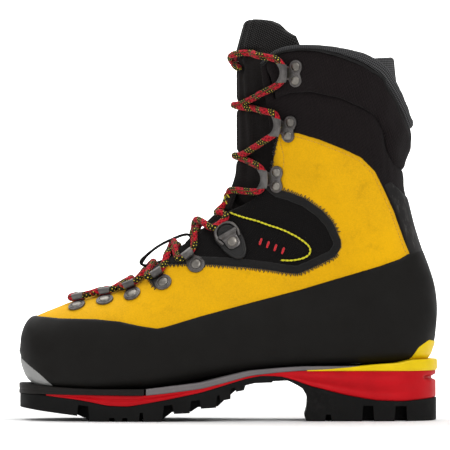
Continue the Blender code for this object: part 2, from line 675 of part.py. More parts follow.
def front_point(section, lift):
    """Point over the middle of the vamp or tongue at a section number."""
    row = spline(SECTIONS, [section])[0]
    after = spline(SECTIONS, [section + .3])[0]
    before = spline(SECTIONS, [section - .3])[0]
    normal = np.array([before[1] - after[1], 0, after[0] - before[0]])
    normal /= np.linalg.norm(normal)
    if normal[0] > 0:
        normal = -normal
    return np.array([row[0], (row[4] + row[5]) / 2, row[1]]) + normal * lift


def at(matrix, x, y, z):
    """A place in a seat's own frame, in the boot's frame."""
    return np.array(matrix @ Vector((x * MM, y * MM, z * MM))) / MM


# ---------------------------------------------------------------- fastener seats
HOOK_RIVET_X = 5.4       # either side of the hook's middle


def seat(x, z, throat_x, throat_z, sign, lift, y=None):
    """Matrix in metres that seats a fastener: z along the surface normal, y to the throat."""
    point, normal = on_surface(x, z, sign) if y is None else on_top(x, y)
    # a normal nearly in the side-view plane would send the direction off to infinity
    normal_y = normal[1]
    if abs(normal_y) <= .12:
        normal_y = math.copysign(.12, normal_y if normal_y else sign)
    rise = -(normal[0] * throat_x + normal[2] * throat_z) / normal_y
    ahead = np.array([throat_x, rise, throat_z])
    ahead -= normal * (ahead @ normal)
    ahead /= np.linalg.norm(ahead)
    across = np.cross(ahead, normal)
    rows = [(across[i], ahead[i], normal[i], 0) for i in range(3)]
    matrix = Matrix((*rows, (0, 0, 0, 1)))
    matrix.translation = Vector((point + normal * lift) * MM)
    return matrix


def all_seats():
    """Seats by (kind, number, side)."""
    found = {}
    for sign, _ in SIDES:
        for k, place in enumerate(LOOPS):
            y = TOP_LOOP_MIDDLE + TOP_LOOP_SPREAD[k] * sign if k < len(TOP_LOOP_SPREAD) else None
            found["loop", k, sign] = seat(*place, sign, LOOP_LIFT, y)
        for k, place in enumerate(HOOKS):
            found["hook", k, sign] = seat(*place, sign, HOOK_LIFT)
        found["lock", 0, sign] = seat(*LOCK, sign, LOCK_LIFT)
    return found


SEATS = all_seats()
SHANK_HOLE = cylinder(1.8, -9, 9, 8)
HOOK_RIVET_SHIFTS = [Matrix.Translation((s * HOOK_RIVET_X * MM, 0, 0)) for s in (-1, 1)]
LOOP_RIVETS = {sign: [SEATS["loop", k, sign] for k in range(len(LOOPS))] for sign, _ in SIDES}
HOOK_RIVETS = {sign: [SEATS["hook", k, sign] @ shift
                      for k in range(len(HOOKS)) for shift in HOOK_RIVET_SHIFTS]
               for sign, _ in SIDES}
RIVET_CUTTERS = [moved(SHANK_HOLE, matrix) for sign, _ in SIDES
                 for matrix in LOOP_RIVETS[sign] + HOOK_RIVETS[sign] + [SEATS["lock", 0, sign]]]


# ---------------------------------------------------------------- fasteners
RIVET_HEAD_R = 3.3
RIVET_HEAD_TOP_R = RIVET_HEAD_R * .7
RIVET_SHANK_R = 1.3
PLATE_T = 1.2
TUNNEL_R, TUNNEL_BORE_R = 4.5, 3.65
TUNNEL_Y, TUNNEL_Z = 13.2, 4.1
HOOK_POST_R, HOOK_POST_Y = 2.2, 13.5
LOCK_JAW_Y, LOCK_JAW_Z = 6.6, 4.4    # pivot of the jaw
LOCK_JAW_HALF = 6.4


def disc_outline(discs, steps):
    """Convex outline round several circles (x, y, r)."""
    angles = [2 * math.pi * k / steps for k in range(steps)]
    points = [(x + r * math.cos(a), y + r * math.sin(a)) for x, y, r in discs for a in angles]
    points = sorted(set((round(x, 4), round(y, 4)) for x, y in points))

    def turn(a, b, c):
        return (b[0] - a[0]) * (c[1] - a[1]) - (b[1] - a[1]) * (c[0] - a[0])

    def half(sequence):
        out = []
        for point in sequence:
            while len(out) > 1 and turn(out[-2], out[-1], point) <= 1e-6:
                out.pop()
            out.append(point)
        return out

    return half(points)[:-1] + half(points[::-1])[:-1]


def lace_loop():
    """Stamped plate with a rivet hole and a rolled tunnel for the lace."""
    across = (Matrix.Translation((0, TUNNEL_Y * MM, TUNNEL_Z * MM))
              @ Matrix.Rotation(math.pi / 2, 4, "Y"))
    plate = prism(disc_outline([(0, 0, 5.6), (0, 9, 3.4)], 10), 0, PLATE_T)
    rolled = moved(cylinder(TUNNEL_R, -3.7, 3.7, 10), across)
    neck = prism([(-3.2, 6), (3.2, 6), (3.2, 12.5), (-3.2, 12.5)], .15, 1.5)
    body = combine(plate, [neck, rolled], "UNION")
    bore = moved(cylinder(TUNNEL_BORE_R, -8, 8, 10), across)
    return combine(body, [bore, SHANK_HOLE], "DIFFERENCE")


def lace_hook():
    """Two-rivet plate whose front end carries a post and a lip that holds the lace."""
    rivet_discs = [(-HOOK_RIVET_X, 0, 4.6), (HOOK_RIVET_X, 0, 4.6)]
    plate = prism(disc_outline(rivet_discs, 8), 0, PLATE_T)
    arm = prism(disc_outline([(0, 0, 4.2), (0, 14, 3.6)], 8), .1, 1.3)
    to_post = Matrix.Translation((0, HOOK_POST_Y * MM, 0))
    post = moved(cylinder(HOOK_POST_R, .6, 7.6, 8), to_post)
    lip_discs = [(-4.2, HOOK_POST_Y, 2.6), (4.2, HOOK_POST_Y, 2.6), (0, 11.2, 4.4)]
    lip = prism(disc_outline(lip_discs, 8), 7.2, 8.4)
    body = combine(plate, [arm, post, lip], "UNION")
    holes = [moved(SHANK_HOLE, shift) for shift in HOOK_RIVET_SHIFTS]
    return combine(body, [joined(holes)], "DIFFERENCE")


def lock_base():
    discs = [(0, -9.5, 3.6), (-3.6, 2, 6.4), (3.6, 2, 6.4), (0, 9.5, 7.0)]
    return combine(prism(disc_outline(discs, 16), 0, 2.0), [SHANK_HOLE.copy()], "DIFFERENCE")


def lock_strap():
    """Steel plate with a thicker cross bar."""
    outline = [(-4.6, -1.5), (-3.2, -4.2), (3.2, -4.2), (4.6, -1.5), (4.6, 4.6), (-4.6, 4.6)]
    bar = prism([(-7.2, 3.2), (7.2, 3.2), (7.2, 5.6), (-7.2, 5.6)], 2.5, 6.2)
    return combine(combine(prism(outline, 2.3, 3.4), [bar], "UNION"), [SHANK_HOLE], "DIFFERENCE")


def lock_rivet():
    shank = cylinder(RIVET_SHANK_R, -3.6, 4.2, 8)
    head = cylinder(RIVET_HEAD_R, 3.7, 4.7, 12, RIVET_HEAD_TOP_R)
    foot = cylinder(3.0, -3.9, -3.1, 10)
    return combine(shank, [head, foot], "UNION")


def lock_jaw():
    """Half-round jaw, straight across its pivot."""
    arc = [(LOCK_JAW_HALF * math.cos(a), LOCK_JAW_Y + .6 + 7.0 * math.sin(a))
           for a in np.linspace(math.pi, 0, 9)]
    outline = [(-LOCK_JAW_HALF, LOCK_JAW_Y)] + arc + [(LOCK_JAW_HALF, LOCK_JAW_Y)]
    return prism(outline, 2.6, 5.2)


def lace_lock(label, matrix):
    """Moulded base, steel strap, rivet and a pivoting jaw."""
    add("lock_base_" + label, moved(lock_base(), matrix), BLACK_PLASTIC)
    add("lock_strap_" + label, moved(lock_strap(), matrix), GUNMETAL)
    add("lock_rivet_" + label, moved(lock_rivet(), matrix), GUNMETAL)
    axis = axis_empty("lock_axis_" + label, at(matrix, 0, LOCK_JAW_Y, LOCK_JAW_Z))
    add("lock_jaw_" + label, moved(lock_jaw(), matrix), BLACK_PLASTIC, axis)


def stay_strip(matrices):
    """Thin strip inside the upper that runs from rivet to rivet."""
    spacing = 9              # roughly, between points added along the way
    end_reach = 3.0          # past the first and last rivet
    corners = ((-3.2, -4.1), (3.2, -4.1), (3.2, -3.5), (-3.2, -3.5))  # across, along the normal
    centres = [at(matrix, 0, 0, 0) for matrix in matrices]
    normals = [np.array(matrix.to_3x3() @ Vector((0, 0, 1))) for matrix in matrices]
    path = [(centres[0], normals[0])]
    for k in range(1, len(matrices)):
        start, end = centres[k - 1], centres[k]
        steps = int(np.linalg.norm(end - start) / spacing)
        for q in range(steps):
            f = (q + 1) / (steps + 1)
            middle = start * (1 - f) + end * f
            point, normal = on_surface(middle[0], middle[2], -1 if middle[1] < 0 else 1)
            path.append((point + normal * .4, normal))
        path.append((end, normals[k]))
    rings = []
    last = len(path) - 1
    for i, (point, normal) in enumerate(path):
        along = path[min(i + 1, last)][0] - path[max(i - 1, 0)][0]
        along /= np.linalg.norm(along)
        across = np.cross(normal, along)
        across /= np.linalg.norm(across)
        shift = along * (end_reach if i == last else -end_reach if i == 0 else 0)
        rings.append([point + across * a + normal * b + shift for a, b in corners])
    return band_mesh(rings)


def rivet_row(name, matrices, parent=None):
    """Rivets through one side's fasteners, united by the strip that backs them."""
    matrices = sorted(matrices, key=lambda matrix: matrix.translation.z)
    head = cylinder(RIVET_HEAD_R, 1.55, 2.5, 10, RIVET_HEAD_TOP_R)
    shank = cylinder(RIVET_SHANK_R, -3.8, 2.0, 6)
    rivets = [combine(moved(shank, matrix), [moved(head, matrix)], "UNION")
              for matrix in matrices]
    body = combine(stay_strip(matrices), [joined(rivets)], "UNION")
    add(name, body, GUNMETAL, parent)


def fasteners(ankle):
    loop_mesh, hook_mesh = lace_loop(), lace_hook()
    for sign, label in SIDES:
        for k in range(len(LOOPS)):
            mesh = moved(loop_mesh, SEATS["loop", k, sign])
            add("lace_loop_%s_%d" % (label, k + 1), mesh, GUNMETAL)
        for k in range(len(HOOKS)):
            mesh = moved(hook_mesh, SEATS["hook", k, sign])
            add("lace_hook_%s_%d" % (label, k + 1), mesh, GUNMETAL, ankle)
        lace_lock(label, SEATS["lock", 0, sign])
        rivet_row("loop_rivets_" + label, LOOP_RIVETS[sign])
        rivet_row("hook_rivets_" + label, HOOK_RIVETS[sign], ankle)


# ---------------------------------------------------------------- shells of the upper
def cutters_near(sheet):
    """The rivet hole cutters whose middle lies near a sheet's points."""
    reach = 16
    out = []
    for cutter in RIVET_CUTTERS:
        middle = np.mean([np.array(v.co) for v in cutter.vertices], axis=0) / MM
        if np.linalg.norm(sheet.points - middle, axis=1).min() < reach:
            out.append(cutter)
    return out


def shell(name, sheet, layer, mat, parent=None, pierced=False, rise=None):
    """A sheet thickened into a layer; pierced shells get the rivet holes."""
    offset = layer.offset if rise is None else (layer.offset + rise(sheet))[:, None]
    mesh = mesh_from(sheet.points + sheet.normals * offset, facing_out(sheet))
    obj = add(name, mesh, mat, parent)
    modifier = obj.modifiers.new("thickness", "SOLIDIFY")
    modifier.thickness = layer.thickness * MM
    modifier.offset = -1
    obj.data.shade_smooth()
    cutters = cutters_near(sheet) if pierced else []
    if cutters:
        body = evaluated_mesh(obj)
        bpy.data.objects.remove(obj, do_unlink=True)
        add(name, combine(body, [joined(cutters)], "DIFFERENCE"), mat, parent)


def outer_panels(ankle):
    vamp = region(clear_of_sole(8.0), under(VAMP_TOP, GAP), throat)
    shell("leather_vamp", vamp, LEATHER_LAYER, YELLOW_LEATHER, pierced=True)
    for sign, label in SIDES:
        quarter = region(inside(QUARTER_OUTLINE), on_side(sign), throat)
        shell("leather_quarter_" + label, quarter, LEATHER_LAYER, YELLOW_LEATHER, ankle, True)
        flex = region(inside(FLEX_OUTLINE), on_side(sign), throat)
        shell("flex_panel_" + label, flex, PADDED_LAYER, BLACK_FABRIC, pierced=True)
        eyestay = region(inside(EYESTAY_OUTLINE), on_side(sign), throat)
        shell("eyestay_" + label, eyestay, PADDED_LAYER, BLACK_FABRIC, ankle, True)
    for name, outline in (("ankle_cuff", CUFF_OUTLINE), ("collar", COLLAR_OUTLINE)):
        shell(name, region(inside(outline)), PADDED_LAYER, BLACK_FABRIC, ankle, True)


def rand_and_inserts():
    """Rubber rand, with the toe and heel corners left to the inserts."""
    rand = region(clear_of_sole(2.4), under(RAND_TOP, .2), over(TOE_EDGE, .35),
                  over(HEEL_EDGE, .35))
    shell("rand", rand, RAND_LAYER, RAND_RUBBER)
    toe = region(ahead_of(-118), under(TOE_EDGE, 1.0), higher_than(29.8))
    shell("toe_insert", toe, RAND_LAYER, LIGHT_GREY)
    heel = region(behind(120), under(HEEL_EDGE, .35), clear_of_sole(2.4))
    shell("heel_insert", heel, RAND_LAYER, YELLOW_PLASTIC)


def stiffeners():
    """Toe puff and heel counter, between the outer panels and the lining."""
    puff = region(ahead_of(-118), clear_of_sole(6.5))
    shell("toe_puff", puff, STIFFENER_LAYER, STIFF_BOARD)

    def under_counter_top(sheet):
        return 108 + (sheet.points[:, 0] - 150) * .25 - sheet.points[:, 2]

    counter = region(behind(92), under_counter_top, clear_of_sole(14))
    shell("heel_counter", counter, STIFFENER_LAYER, STIFF_BOARD)


def ankle_gusset():
    """Soft strip inside the panels that closes the flex line round the back of the ankle."""
    top = 139

    def behind_front_edge(sheet):
        return sheet.points[:, 0] - 70 - (top - sheet.points[:, 2]) * .1

    gusset = region(higher_than(115.5), lambda sheet: top - sheet.points[:, 2],
                    behind_front_edge)
    shell("ankle_gusset", gusset, GUSSET_LAYER, BLACK_FABRIC)


def linings(ankle):
    """A closed bootie below the ankle line, an open sleeve above it."""
    foot = region(under(FOOT_LINING_TOP, GAP), throat)
    shell("lining_foot", foot, LINER_LAYER, LINING_CLOTH)
    shaft = region(over(SHAFT_LINING_LOW, GAP), under(COLLAR_TOP, 1.0), throat)
    shell("lining_shaft", shaft, LINER_LAYER, LINING_CLOTH, ankle)


def tongue():
    lower = region(past_section(6.3), before_section(15.2), tongue_width)
    shell("tongue_lower", lower, TONGUE_LAYER, BLACK_FABRIC, rise=tongue_rise)
    axis = axis_empty("tongue_axis", TONGUE_AXIS)
    upper = region(past_section(15.7), under(TONGUE_TOP, 0), tongue_width)
    shell("tongue_upper", upper, TONGUE_LAYER, BLACK_FABRIC, axis, rise=tongue_rise)


def underfoot():
    """Board, shank plate and footbed under the foot."""
    board = region(sole_face(3.0), lambda sheet: 3.0 + below(FEATHER, sheet), behind(-134),
                   ahead_of(124))
    shell("lasting_board", board, BOARD_LAYER, STIFF_BOARD)
    shank = region(sole_face(9.0), behind(-60), ahead_of(120),
                   lambda sheet: 20 - np.abs(sheet.points[:, 1]))
    shell("shank_plate", shank, SHANK_LAYER, GUNMETAL)
    axis = axis_empty("footbed_axis", FOOTBED_AXIS)
    bed = region(sole_face(11.0), behind(-130), ahead_of(128))
    shell("footbed", bed, FOOTBED_LAYER, GREY_KNIT, axis)


# ---------------------------------------------------------------- sole unit
def plan_outline(inset):
    rows = spline(SOLE_PLAN, np.linspace(0, len(SOLE_PLAN) - 1, SOLE_PLAN_STEPS))
    points = np.vstack([rows[:, [0, 1]], rows[:, [0, 2]][::-1]])
    along = np.roll(points, -1, axis=0) - np.roll(points, 1, axis=0)
    outward = np.stack([along[:, 1], -along[:, 0]], 1)
    outward /= np.linalg.norm(outward, axis=1, keepdims=True)
    if ((points - points.mean(axis=0)) * outward).sum() < 0:
        outward = -outward
    return points - outward * inset


def slab(name, profile, inset, mat, cutters=()):
    """The plan outline, cut to a side-view profile (x, z)."""
    plan = prism([tuple(p) for p in plan_outline(inset)], -5, 80)
    body = combine(plan, [side_prism(profile, 90)], "INTERSECT")
    if cutters:
        body = combine(body, [joined(cutters)], "DIFFERENCE")
    add(name, body, mat)


def between(top, low, x0, x1, gap_top, gap_low):
    """Side-view outline of a layer: from x0 to x1 under one line and back over another."""
    def along(line, shift):
        stops = [x0] + [x for x, _ in line if x0 < x < x1] + [x1]
        return [(float(x), float(lookup(line, x)) + shift) for x in stops]

    return along(top, -gap_top) + along(low, gap_low)[::-1]


def sole_unit():
    toe = between(SOLE_TOP, RED_TOP, -160, -61.5, WELT_GAP, WELT_GAP)
    slab("toe_welt", toe, 0.0, BLACK_RUBBER)
    band = between(SOLE_TOP, BAND_LOW, -60.7, 113.0, WELT_GAP, WELT_GAP)
    slab("midsole_band", band, .8, GREY_BAND)
    heel = between(HEEL_WELT_TOP, RED_TOP, 79, 160, .0, WELT_GAP)
    slab("heel_welt", heel, 0.0, YELLOW_PLASTIC)
    red = between(RED_TOP, RED_LOW, -130.5, 160, .0, .0)
    slab("midsole", red, 1.2, RED_MIDSOLE, [side_prism(HEEL_SLOT, 60)])
    grooves = [prism(outline, -5, roof) for roof, outline in LONG_GROOVES]
    slab("outsole", OUTSOLE_TOP + OUTSOLE_LUGS, 0.0, BLACK_RUBBER, grooves)


# ---------------------------------------------------------------- lace
LACE_ORDER = ([("loop", k) for k in range(len(LOOPS))] + [("lock", 0)]
              + [("hook", k) for k in range(len(HOOKS))])
# crossings of the two strands: section number, lift of the lower strand over the loft
CROSSINGS = [(7.7, .6), (8.75, .2), (9.9, -.6), (11.3, -1.2), (13.0, -1.6), (15.9, -1.9),
             (18.8, -1.9), (22.9, -1.9)]
CROSSING_CLEARANCE = .7
# path through a fastener, in its own frame: x (upwards), y, z
LOOP_PATH = [(-9.0, 16.5, 5.0), (-4.9, 13.5, 4.2), (0, 13.0, 4.1), (4.9, 13.5, 4.2),
             (9.0, 16.5, 5.0)]
LOCK_PATH = [(-9.5, 15.0, 4.2), (0, 18.0, 4.6), (8.5, 17.0, 4.6)]
HOOK_TURN_R = HOOK_POST_R + LACE_D / 2 + 1.7
HOOK_TURN_ANGLES = np.radians([-30, 10, 50, 90, 130, 170, 210])
HOOK_PATH = [(-HOOK_TURN_R * math.cos(a), HOOK_POST_Y - HOOK_TURN_R * math.sin(a), 4.2)
             for a in HOOK_TURN_ANGLES]
FASTENER_PATHS = {"loop": LOOP_PATH, "lock": LOCK_PATH, "hook": HOOK_PATH}


def smooth_path(points, step, passes):
    """The path resampled at a steady step, its corners rounded."""
    points = np.array(points, float)
    lengths = np.linalg.norm(np.diff(points, axis=0), axis=1)
    run = np.concatenate([[0], np.cumsum(lengths)])
    want = np.linspace(0, run[-1], int(run[-1] / step) + 2)
    out = np.stack([np.interp(want, run, points[:, k]) for k in range(3)], 1)
    for _ in range(passes):
        out[1:-1] = out[1:-1] / 2 + (out[:-2] + out[2:]) / 4
    return out


def fastener_points(kind, k, sign):
    """Lace points at a fastener, from below to above."""
    matrix = SEATS[kind, k, sign]
    across = matrix.to_3x3() @ Vector((1, 0, 0))
    upward = 1 if across.z + across.x * .3 > 0 else -1
    return [at(matrix, x * upward, y, z) for x, y, z in FASTENER_PATHS[kind]]


def strand(first):
    """Half of the lace, zigzagging up from the first loop of one side."""
    points, sign = [], first
    for k, (kind, i) in enumerate(LACE_ORDER):
        points += fastener_points(kind, i, sign)
        if k < len(CROSSINGS):
            section, lift = CROSSINGS[k]
            on_top_here = (first > 0) == (k % 2 == 0)
            raised = LACE_D + CROSSING_CLEARANCE if on_top_here else 0
            points.append(front_point(section, lift + raised))
        sign = -sign
    return points


def clear_of_upper(path):
    """The lace path pushed out wherever it would sink into the tongue or the upper."""
    points, normals = FINE.reshape(-1, 3), FINE_NORMALS.reshape(-1, 3)
    sections = np.repeat(FINE_ROWS, FINE.shape[1])
    out = path.copy()
    for i, place in enumerate(path):
        k = np.argmin(((points - place) ** 2).sum(axis=1))
        spot = Sheet(points[k:k + 1], normals[k:k + 1], sections[k:k + 1], [])
        f = float(np.clip((throat(spot)[0] + 8.0) / 6.0, 0, 1))
        tongue_face = TONGUE_LAYER.offset + TONGUE_RISE
        need = tongue_face * (1 - f) + LACE_D / 2 + .45
        lift = float((place - points[k]) @ normals[k])
        if lift < need:
            out[i] = place + normals[k] * (need - lift)
    return out


def lace():
    """One lace: across the top of the tongue, down one strand, over the vamp and up the other."""
    top_run = [front_point(27.6, 6.0) + np.array([4, -20, 1.5]),
               front_point(27.4, .6),
               front_point(26.8, -1.0) + np.array([7, 19, -1.0])]
    toe_run = [front_point(6.3, 4.8)]
    path = smooth_path((strand(-1) + top_run)[::-1] + toe_run + strand(1), 4.3, 2)
    path[1:-1] = clear_of_upper(path)[1:-1]
    add("lace", tube(path, LACE_D / 2), RED_LACE)


# ---------------------------------------------------------------- soft bits
INSTEP_LOOP_PATH = [
    (-29.5, -3.5, 137.5), (-36, -3.8, 135.2), (-46, -4.2, 131.5), (-56, -4.6, 126.0),
    (-62.5, -4.4, 120.0), (-63.2, -2.0, 116.8), (-60, 2.0, 116.6), (-55, 4.4, 119.5),
    (-46, 4.6, 126.5), (-37, 4.2, 132.5), (-30.5, 3.8, 136.4)]
INSTEP_LOOP_LIFT = 6.0   # added to the z of the path
# rings of the heel pull tab: share of the forward lean, z, half width
HEEL_TAB_RINGS = [(0, 222, 11.0), (.3, 236, 11.0), (.6, 250, 11.0), (1.0, 266, 9.0)]


def lace_keeper():
    """A flat strip across the middle of the tongue."""
    half, low, high = 8.0, -4.2, -3.0
    corners = ((-half, low), (half, low), (half, high), (-half, high))
    rings = [[front_point(section, lift) + np.array([0, y, 0]) for y, lift in corners]
             for section in (13.9, 14.3, 14.7)]
    add("lace_keeper", band_mesh(rings), BLACK_FABRIC)


def instep_loop():
    """Cord loop at the instep."""
    axis = axis_empty("instep_loop_axis", INSTEP_LOOP_AXIS)
    points = [(x, y, z + INSTEP_LOOP_LIFT) for x, y, z in INSTEP_LOOP_PATH]
    add("instep_loop", tube(smooth_path(points, 7.0, 1), .8), BLACK_CORD, axis)


def heel_pull_tab():
    """Pull tab inside the back of the collar."""
    axis = axis_empty("heel_tab_axis", HEEL_TAB_AXIS)
    foot_x, lean, thickness = 118.5, 2.5, 1.6
    rings = []
    for share, z, half in HEEL_TAB_RINGS:
        back = foot_x - lean * share
        front = back - thickness
        rings.append([(back, -half, z), (back, half, z), (front, half, z), (front, -half, z)])
    add("heel_pull_tab", band_mesh(rings), GREY_KNIT, axis)


def collar_binding(ankle):
    """Rolled binding along the top edge of the collar."""
    runs = []
    for sign, _ in SIDES:
        run = []
        for x in np.linspace(27, 131.5, 22):
            z = float(lookup(COLLAR_TOP, x))
            slope = float(lookup(COLLAR_TOP, x + 2) - lookup(COLLAR_TOP, x - 2)) / 4
            point, normal = on_surface(x, z, sign)
            off_edge = np.array([-slope, 0, 1]) / math.hypot(slope, 1)
            run.append(point - normal * 1.0 + off_edge * 2.7)
        runs.append(run)
    back = [np.array([135.4, y, 226.0]) for y in (-9.0, 0, 9.0)]
    path = smooth_path(runs[0] + back + runs[1][::-1], 9.0, 1)
    add("collar_binding", tube(path, 1.3), GREY_KNIT, ankle)


# ---------------------------------------------------------------- the boot
ANKLE = axis_empty("ankle_axis", ANKLE_AXIS)
fasteners(ANKLE)
outer_panels(ANKLE)
rand_and_inserts()
stiffeners()
ankle_gusset()
linings(ANKLE)
tongue()
underfoot()
sole_unit()
lace()
lace_keeper()
instep_loop()
heel_pull_tab()
collar_binding(ANKLE)
bpy.context.view_layer.update()
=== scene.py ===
"""A laced mountaineering boot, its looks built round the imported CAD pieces.

The boot stands on z = 0. Its toe points along -x and its heel along +x. The lateral side is
at -y and called left, the medial side is at +y and called right. Lengths are millimetres
until multiplied by MM; the floor, lights and camera are in metres.
"""
import json
import math

import bmesh
import bpy
import numpy as np
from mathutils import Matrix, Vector
from mathutils.kdtree import KDTree

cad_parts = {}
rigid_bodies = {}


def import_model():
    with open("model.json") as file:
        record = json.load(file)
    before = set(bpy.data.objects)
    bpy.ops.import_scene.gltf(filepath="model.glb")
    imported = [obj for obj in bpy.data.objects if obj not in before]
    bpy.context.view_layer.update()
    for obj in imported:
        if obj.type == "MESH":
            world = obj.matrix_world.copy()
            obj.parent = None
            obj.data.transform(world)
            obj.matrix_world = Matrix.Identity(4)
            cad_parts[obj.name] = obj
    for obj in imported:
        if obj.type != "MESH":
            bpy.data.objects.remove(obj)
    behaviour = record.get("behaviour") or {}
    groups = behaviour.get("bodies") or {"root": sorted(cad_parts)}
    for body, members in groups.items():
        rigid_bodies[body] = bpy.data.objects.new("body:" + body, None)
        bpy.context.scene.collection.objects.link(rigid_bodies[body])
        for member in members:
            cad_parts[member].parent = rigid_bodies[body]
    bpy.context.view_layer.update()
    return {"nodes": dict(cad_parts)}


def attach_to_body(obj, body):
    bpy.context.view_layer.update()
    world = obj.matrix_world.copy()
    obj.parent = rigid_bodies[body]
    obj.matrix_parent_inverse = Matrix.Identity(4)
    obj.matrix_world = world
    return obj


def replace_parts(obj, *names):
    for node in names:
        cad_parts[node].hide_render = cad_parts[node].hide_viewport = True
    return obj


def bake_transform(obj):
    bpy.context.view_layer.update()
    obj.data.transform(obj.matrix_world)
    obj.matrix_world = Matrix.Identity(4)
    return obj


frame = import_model()
MM = 0.001
TAU = 2 * math.pi
SIDES = ((-1, "left"), (1, "right"))

# ---------------------------------------------------------------- driving tables
# Cross-sections from the toe, over the heel and up the shaft. Each lies on a side-view line from
# T (top of the foot, front of the shaft) to B (underside of the foot, back of the shaft):
# T x, T z, B x, B z, y of the left side, y of the right side,
# place of the widest point from T to B, roundness at T, squareness at B
SECTIONS = np.array([
    (-152.2, 53.7, -151.5, 47.1, -3, 15, .60, 2, 2.6),
    (-151.1, 62.4, -150.4, 40.5, -12, 24, .60, 2, 2.6),
    (-148.2, 69.4, -147.5, 33.9, -20.5, 31.5, .61, 2, 2.7),
    (-143.8, 74.1, -143.1, 29.6, -28, 37.5, .62, 2, 3.1),
    (-137.2, 77.6, -136.5, 26.6, -34.5, 42, .64, 2, 4),
    (-126.3, 82.1, -124.8, 25.2, -41, 46, .66, 2, 5),
    (-113.9, 86.9, -111.0, 24.1, -46, 48.5, .66, 1.95, 5.5),
    (-97.1, 91.6, -94.2, 23.7, -50, 50, .66, 1.9, 6),
    (-80.3, 96.7, -76.7, 24.1, -51.2, 51.2, .66, 1.8, 6),
    (-64.2, 106.2, -58.4, 25.2, -51.8, 50.5, .67, 1.65, 6),
    (-51.1, 117.2, -38.0, 28.8, -51, 47, .68, 1.5, 6),
    (-40.9, 128.1, -16.1, 32.9, -49, 44, .70, 1.4, 6),
    (-31.4, 139.1, 8.8, 37.2, -46, 41, .72, 1.35, 6),
    (-22.6, 149.3, 38.0, 40.9, -43.5, 39.5, .74, 1.3, 6),
    (-15.3, 158.0, 68.6, 42.7, -41.5, 39, .76, 1.3, 6),
    (-9.9, 166.1, 97.8, 43.4, -40, 39, .77, 1.3, 5.5),
    (-5.8, 174.1, 124.1, 44.2, -39.5, 39, .76, 1.3, 4.5),
    (-2.9, 182.1, 143.8, 46.7, -39.5, 39, .73, 1.3, 3.2),
    (-1.1, 190.5, 150.0, 55.8, -39.5, 39.5, .69, 1.3, 2.6),
    (0.0, 198.9, 152.2, 69.0, -39.5, 39.5, .65, 1.3, 2.3),
    (0.4, 207.7, 152.9, 83.6, -39.5, 39.5, .61, 1.3, 2.3),
    (0.4, 216.4, 151.1, 98.2, -39.5, 39.5, .58, 1.3, 2.3),
    (0.4, 225.2, 147.1, 111.3, -40, 40, .55, 1.3, 2.3),
    (0.4, 234.0, 141.6, 125.9, -40.5, 40.5, .53, 1.3, 2.3),
    (0.4, 242.7, 136.5, 142.0, -41, 41, .52, 1.3, 2.3),
    (0.4, 251.5, 132.5, 158.0, -42, 42, .52, 1.3, 2.3),
    (0.4, 260.2, 128.5, 174.1, -43.5, 43.5, .52, 1.3, 2.3),
    (0.4, 269.0, 129.6, 187.2, -45.5, 45.5, .52, 1.3, 2.3),
    (0.7, 277.8, 133.2, 201.8, -47.5, 47.5, .52, 1.3, 2.3),
    (1.1, 286.5, 134.7, 216.4, -48.5, 48.5, .52, 1.3, 2.3),
    (1.5, 295.3, 134.3, 232.5, -48.5, 48.5, .52, 1.3, 2.3),
    (1.8, 304.0, 134.0, 247.1, -48.5, 48.5, .52, 1.3, 2.3),
    (2.1, 312.7, 133.6, 261.2, -48.5, 48.5, .52, 1.3, 2.3),
    (2.4, 321.4, 133.2, 275.2, -48.5, 48.5, .52, 1.3, 2.3),
])
MIDS = (SECTIONS[:, 4] + SECTIONS[:, 5]) / 2
# side-view lines (x, z) on the upper: top of the rand, lower edge of the upper,
# top of the rear leather, seam under the collar, top of the shaft
RAND_TOP = [
    (-165, 77.6), (-144.5, 77.5), (-135, 77.4), (-122.6, 76.7), (-97.1, 76.3), (-78.8, 73.4),
    (-64.2, 69.7), (-51.8, 67.9), (-46, 69), (-20.4, 76.7), (16.1, 86.5), (52.6, 96),
    (81.8, 104.8), (111, 113.5), (125.6, 118.6), (131.4, 122), (140.2, 124.5), (165, 126)]
FEATHER = [
    (-165, 39.5), (-151, 39.5), (-147.5, 33.9), (-143.1, 29.6), (-136.5, 26.6), (-124.8, 25.2),
    (-111, 24.1), (-94.2, 23.7), (-76.7, 24.1), (-58.4, 25.2), (-38, 28.8), (-16.1, 32.9),
    (8.8, 37.2), (38, 40.9), (68.6, 42.7), (97.8, 43.4), (124.1, 43.6), (165, 43.8)]
QUARTER_TOP = [
    (35.8, 210.6), (50.4, 211.3), (67.2, 206.2), (85.4, 198.9), (97.8, 193.1), (108, 182.9),
    (114.6, 169.7), (121.9, 153.7), (127.8, 136.9), (131, 128.5)]
SEAM = [
    (32.1, 235), (45.3, 241.3), (59.9, 242), (81.8, 237.6), (100, 229.6), (108, 224.5),
    (113.9, 213.5), (116.8, 198.9), (121.9, 188), (128.5, 182.9), (165, 181)]
CUFF_TOP = [
    (-20, 245), (8.8, 254), (19.7, 260.3), (24.8, 264.6), (29.2, 268.3), (34.3, 271.9),
    (41.6, 274.5), (52.6, 275.6), (67.2, 275.2), (81.8, 272.7), (100, 267.5), (114.6, 258.8),
    (124.1, 244.2), (131.4, 229.6), (134.5, 220.5), (165, 214)]


# ---------------------------------------------------------------- curves and profiles
def spline(table, places):
    """Smooth curve through the rows of a table, at places counted in rows."""
    table = np.asarray(table, float)
    last = len(table) - 1
    places = np.clip(np.atleast_1d(np.asarray(places, float)), 0, last - 1e-9)
    i = np.floor(places).astype(int)
    frac = (places - i)[:, None]
    before, start, end, after = (table[np.clip(i + k, 0, last)] for k in (-1, 0, 1, 2))
    return .5 * (2 * start + (end - before) * frac
                 + (2 * before - 5 * start + 4 * end - after) * frac ** 2
                 + (3 * start - before - 3 * end + after) * frac ** 3)


def resample(table, count):
    return spline(table, np.linspace(0, len(table) - 1, count))


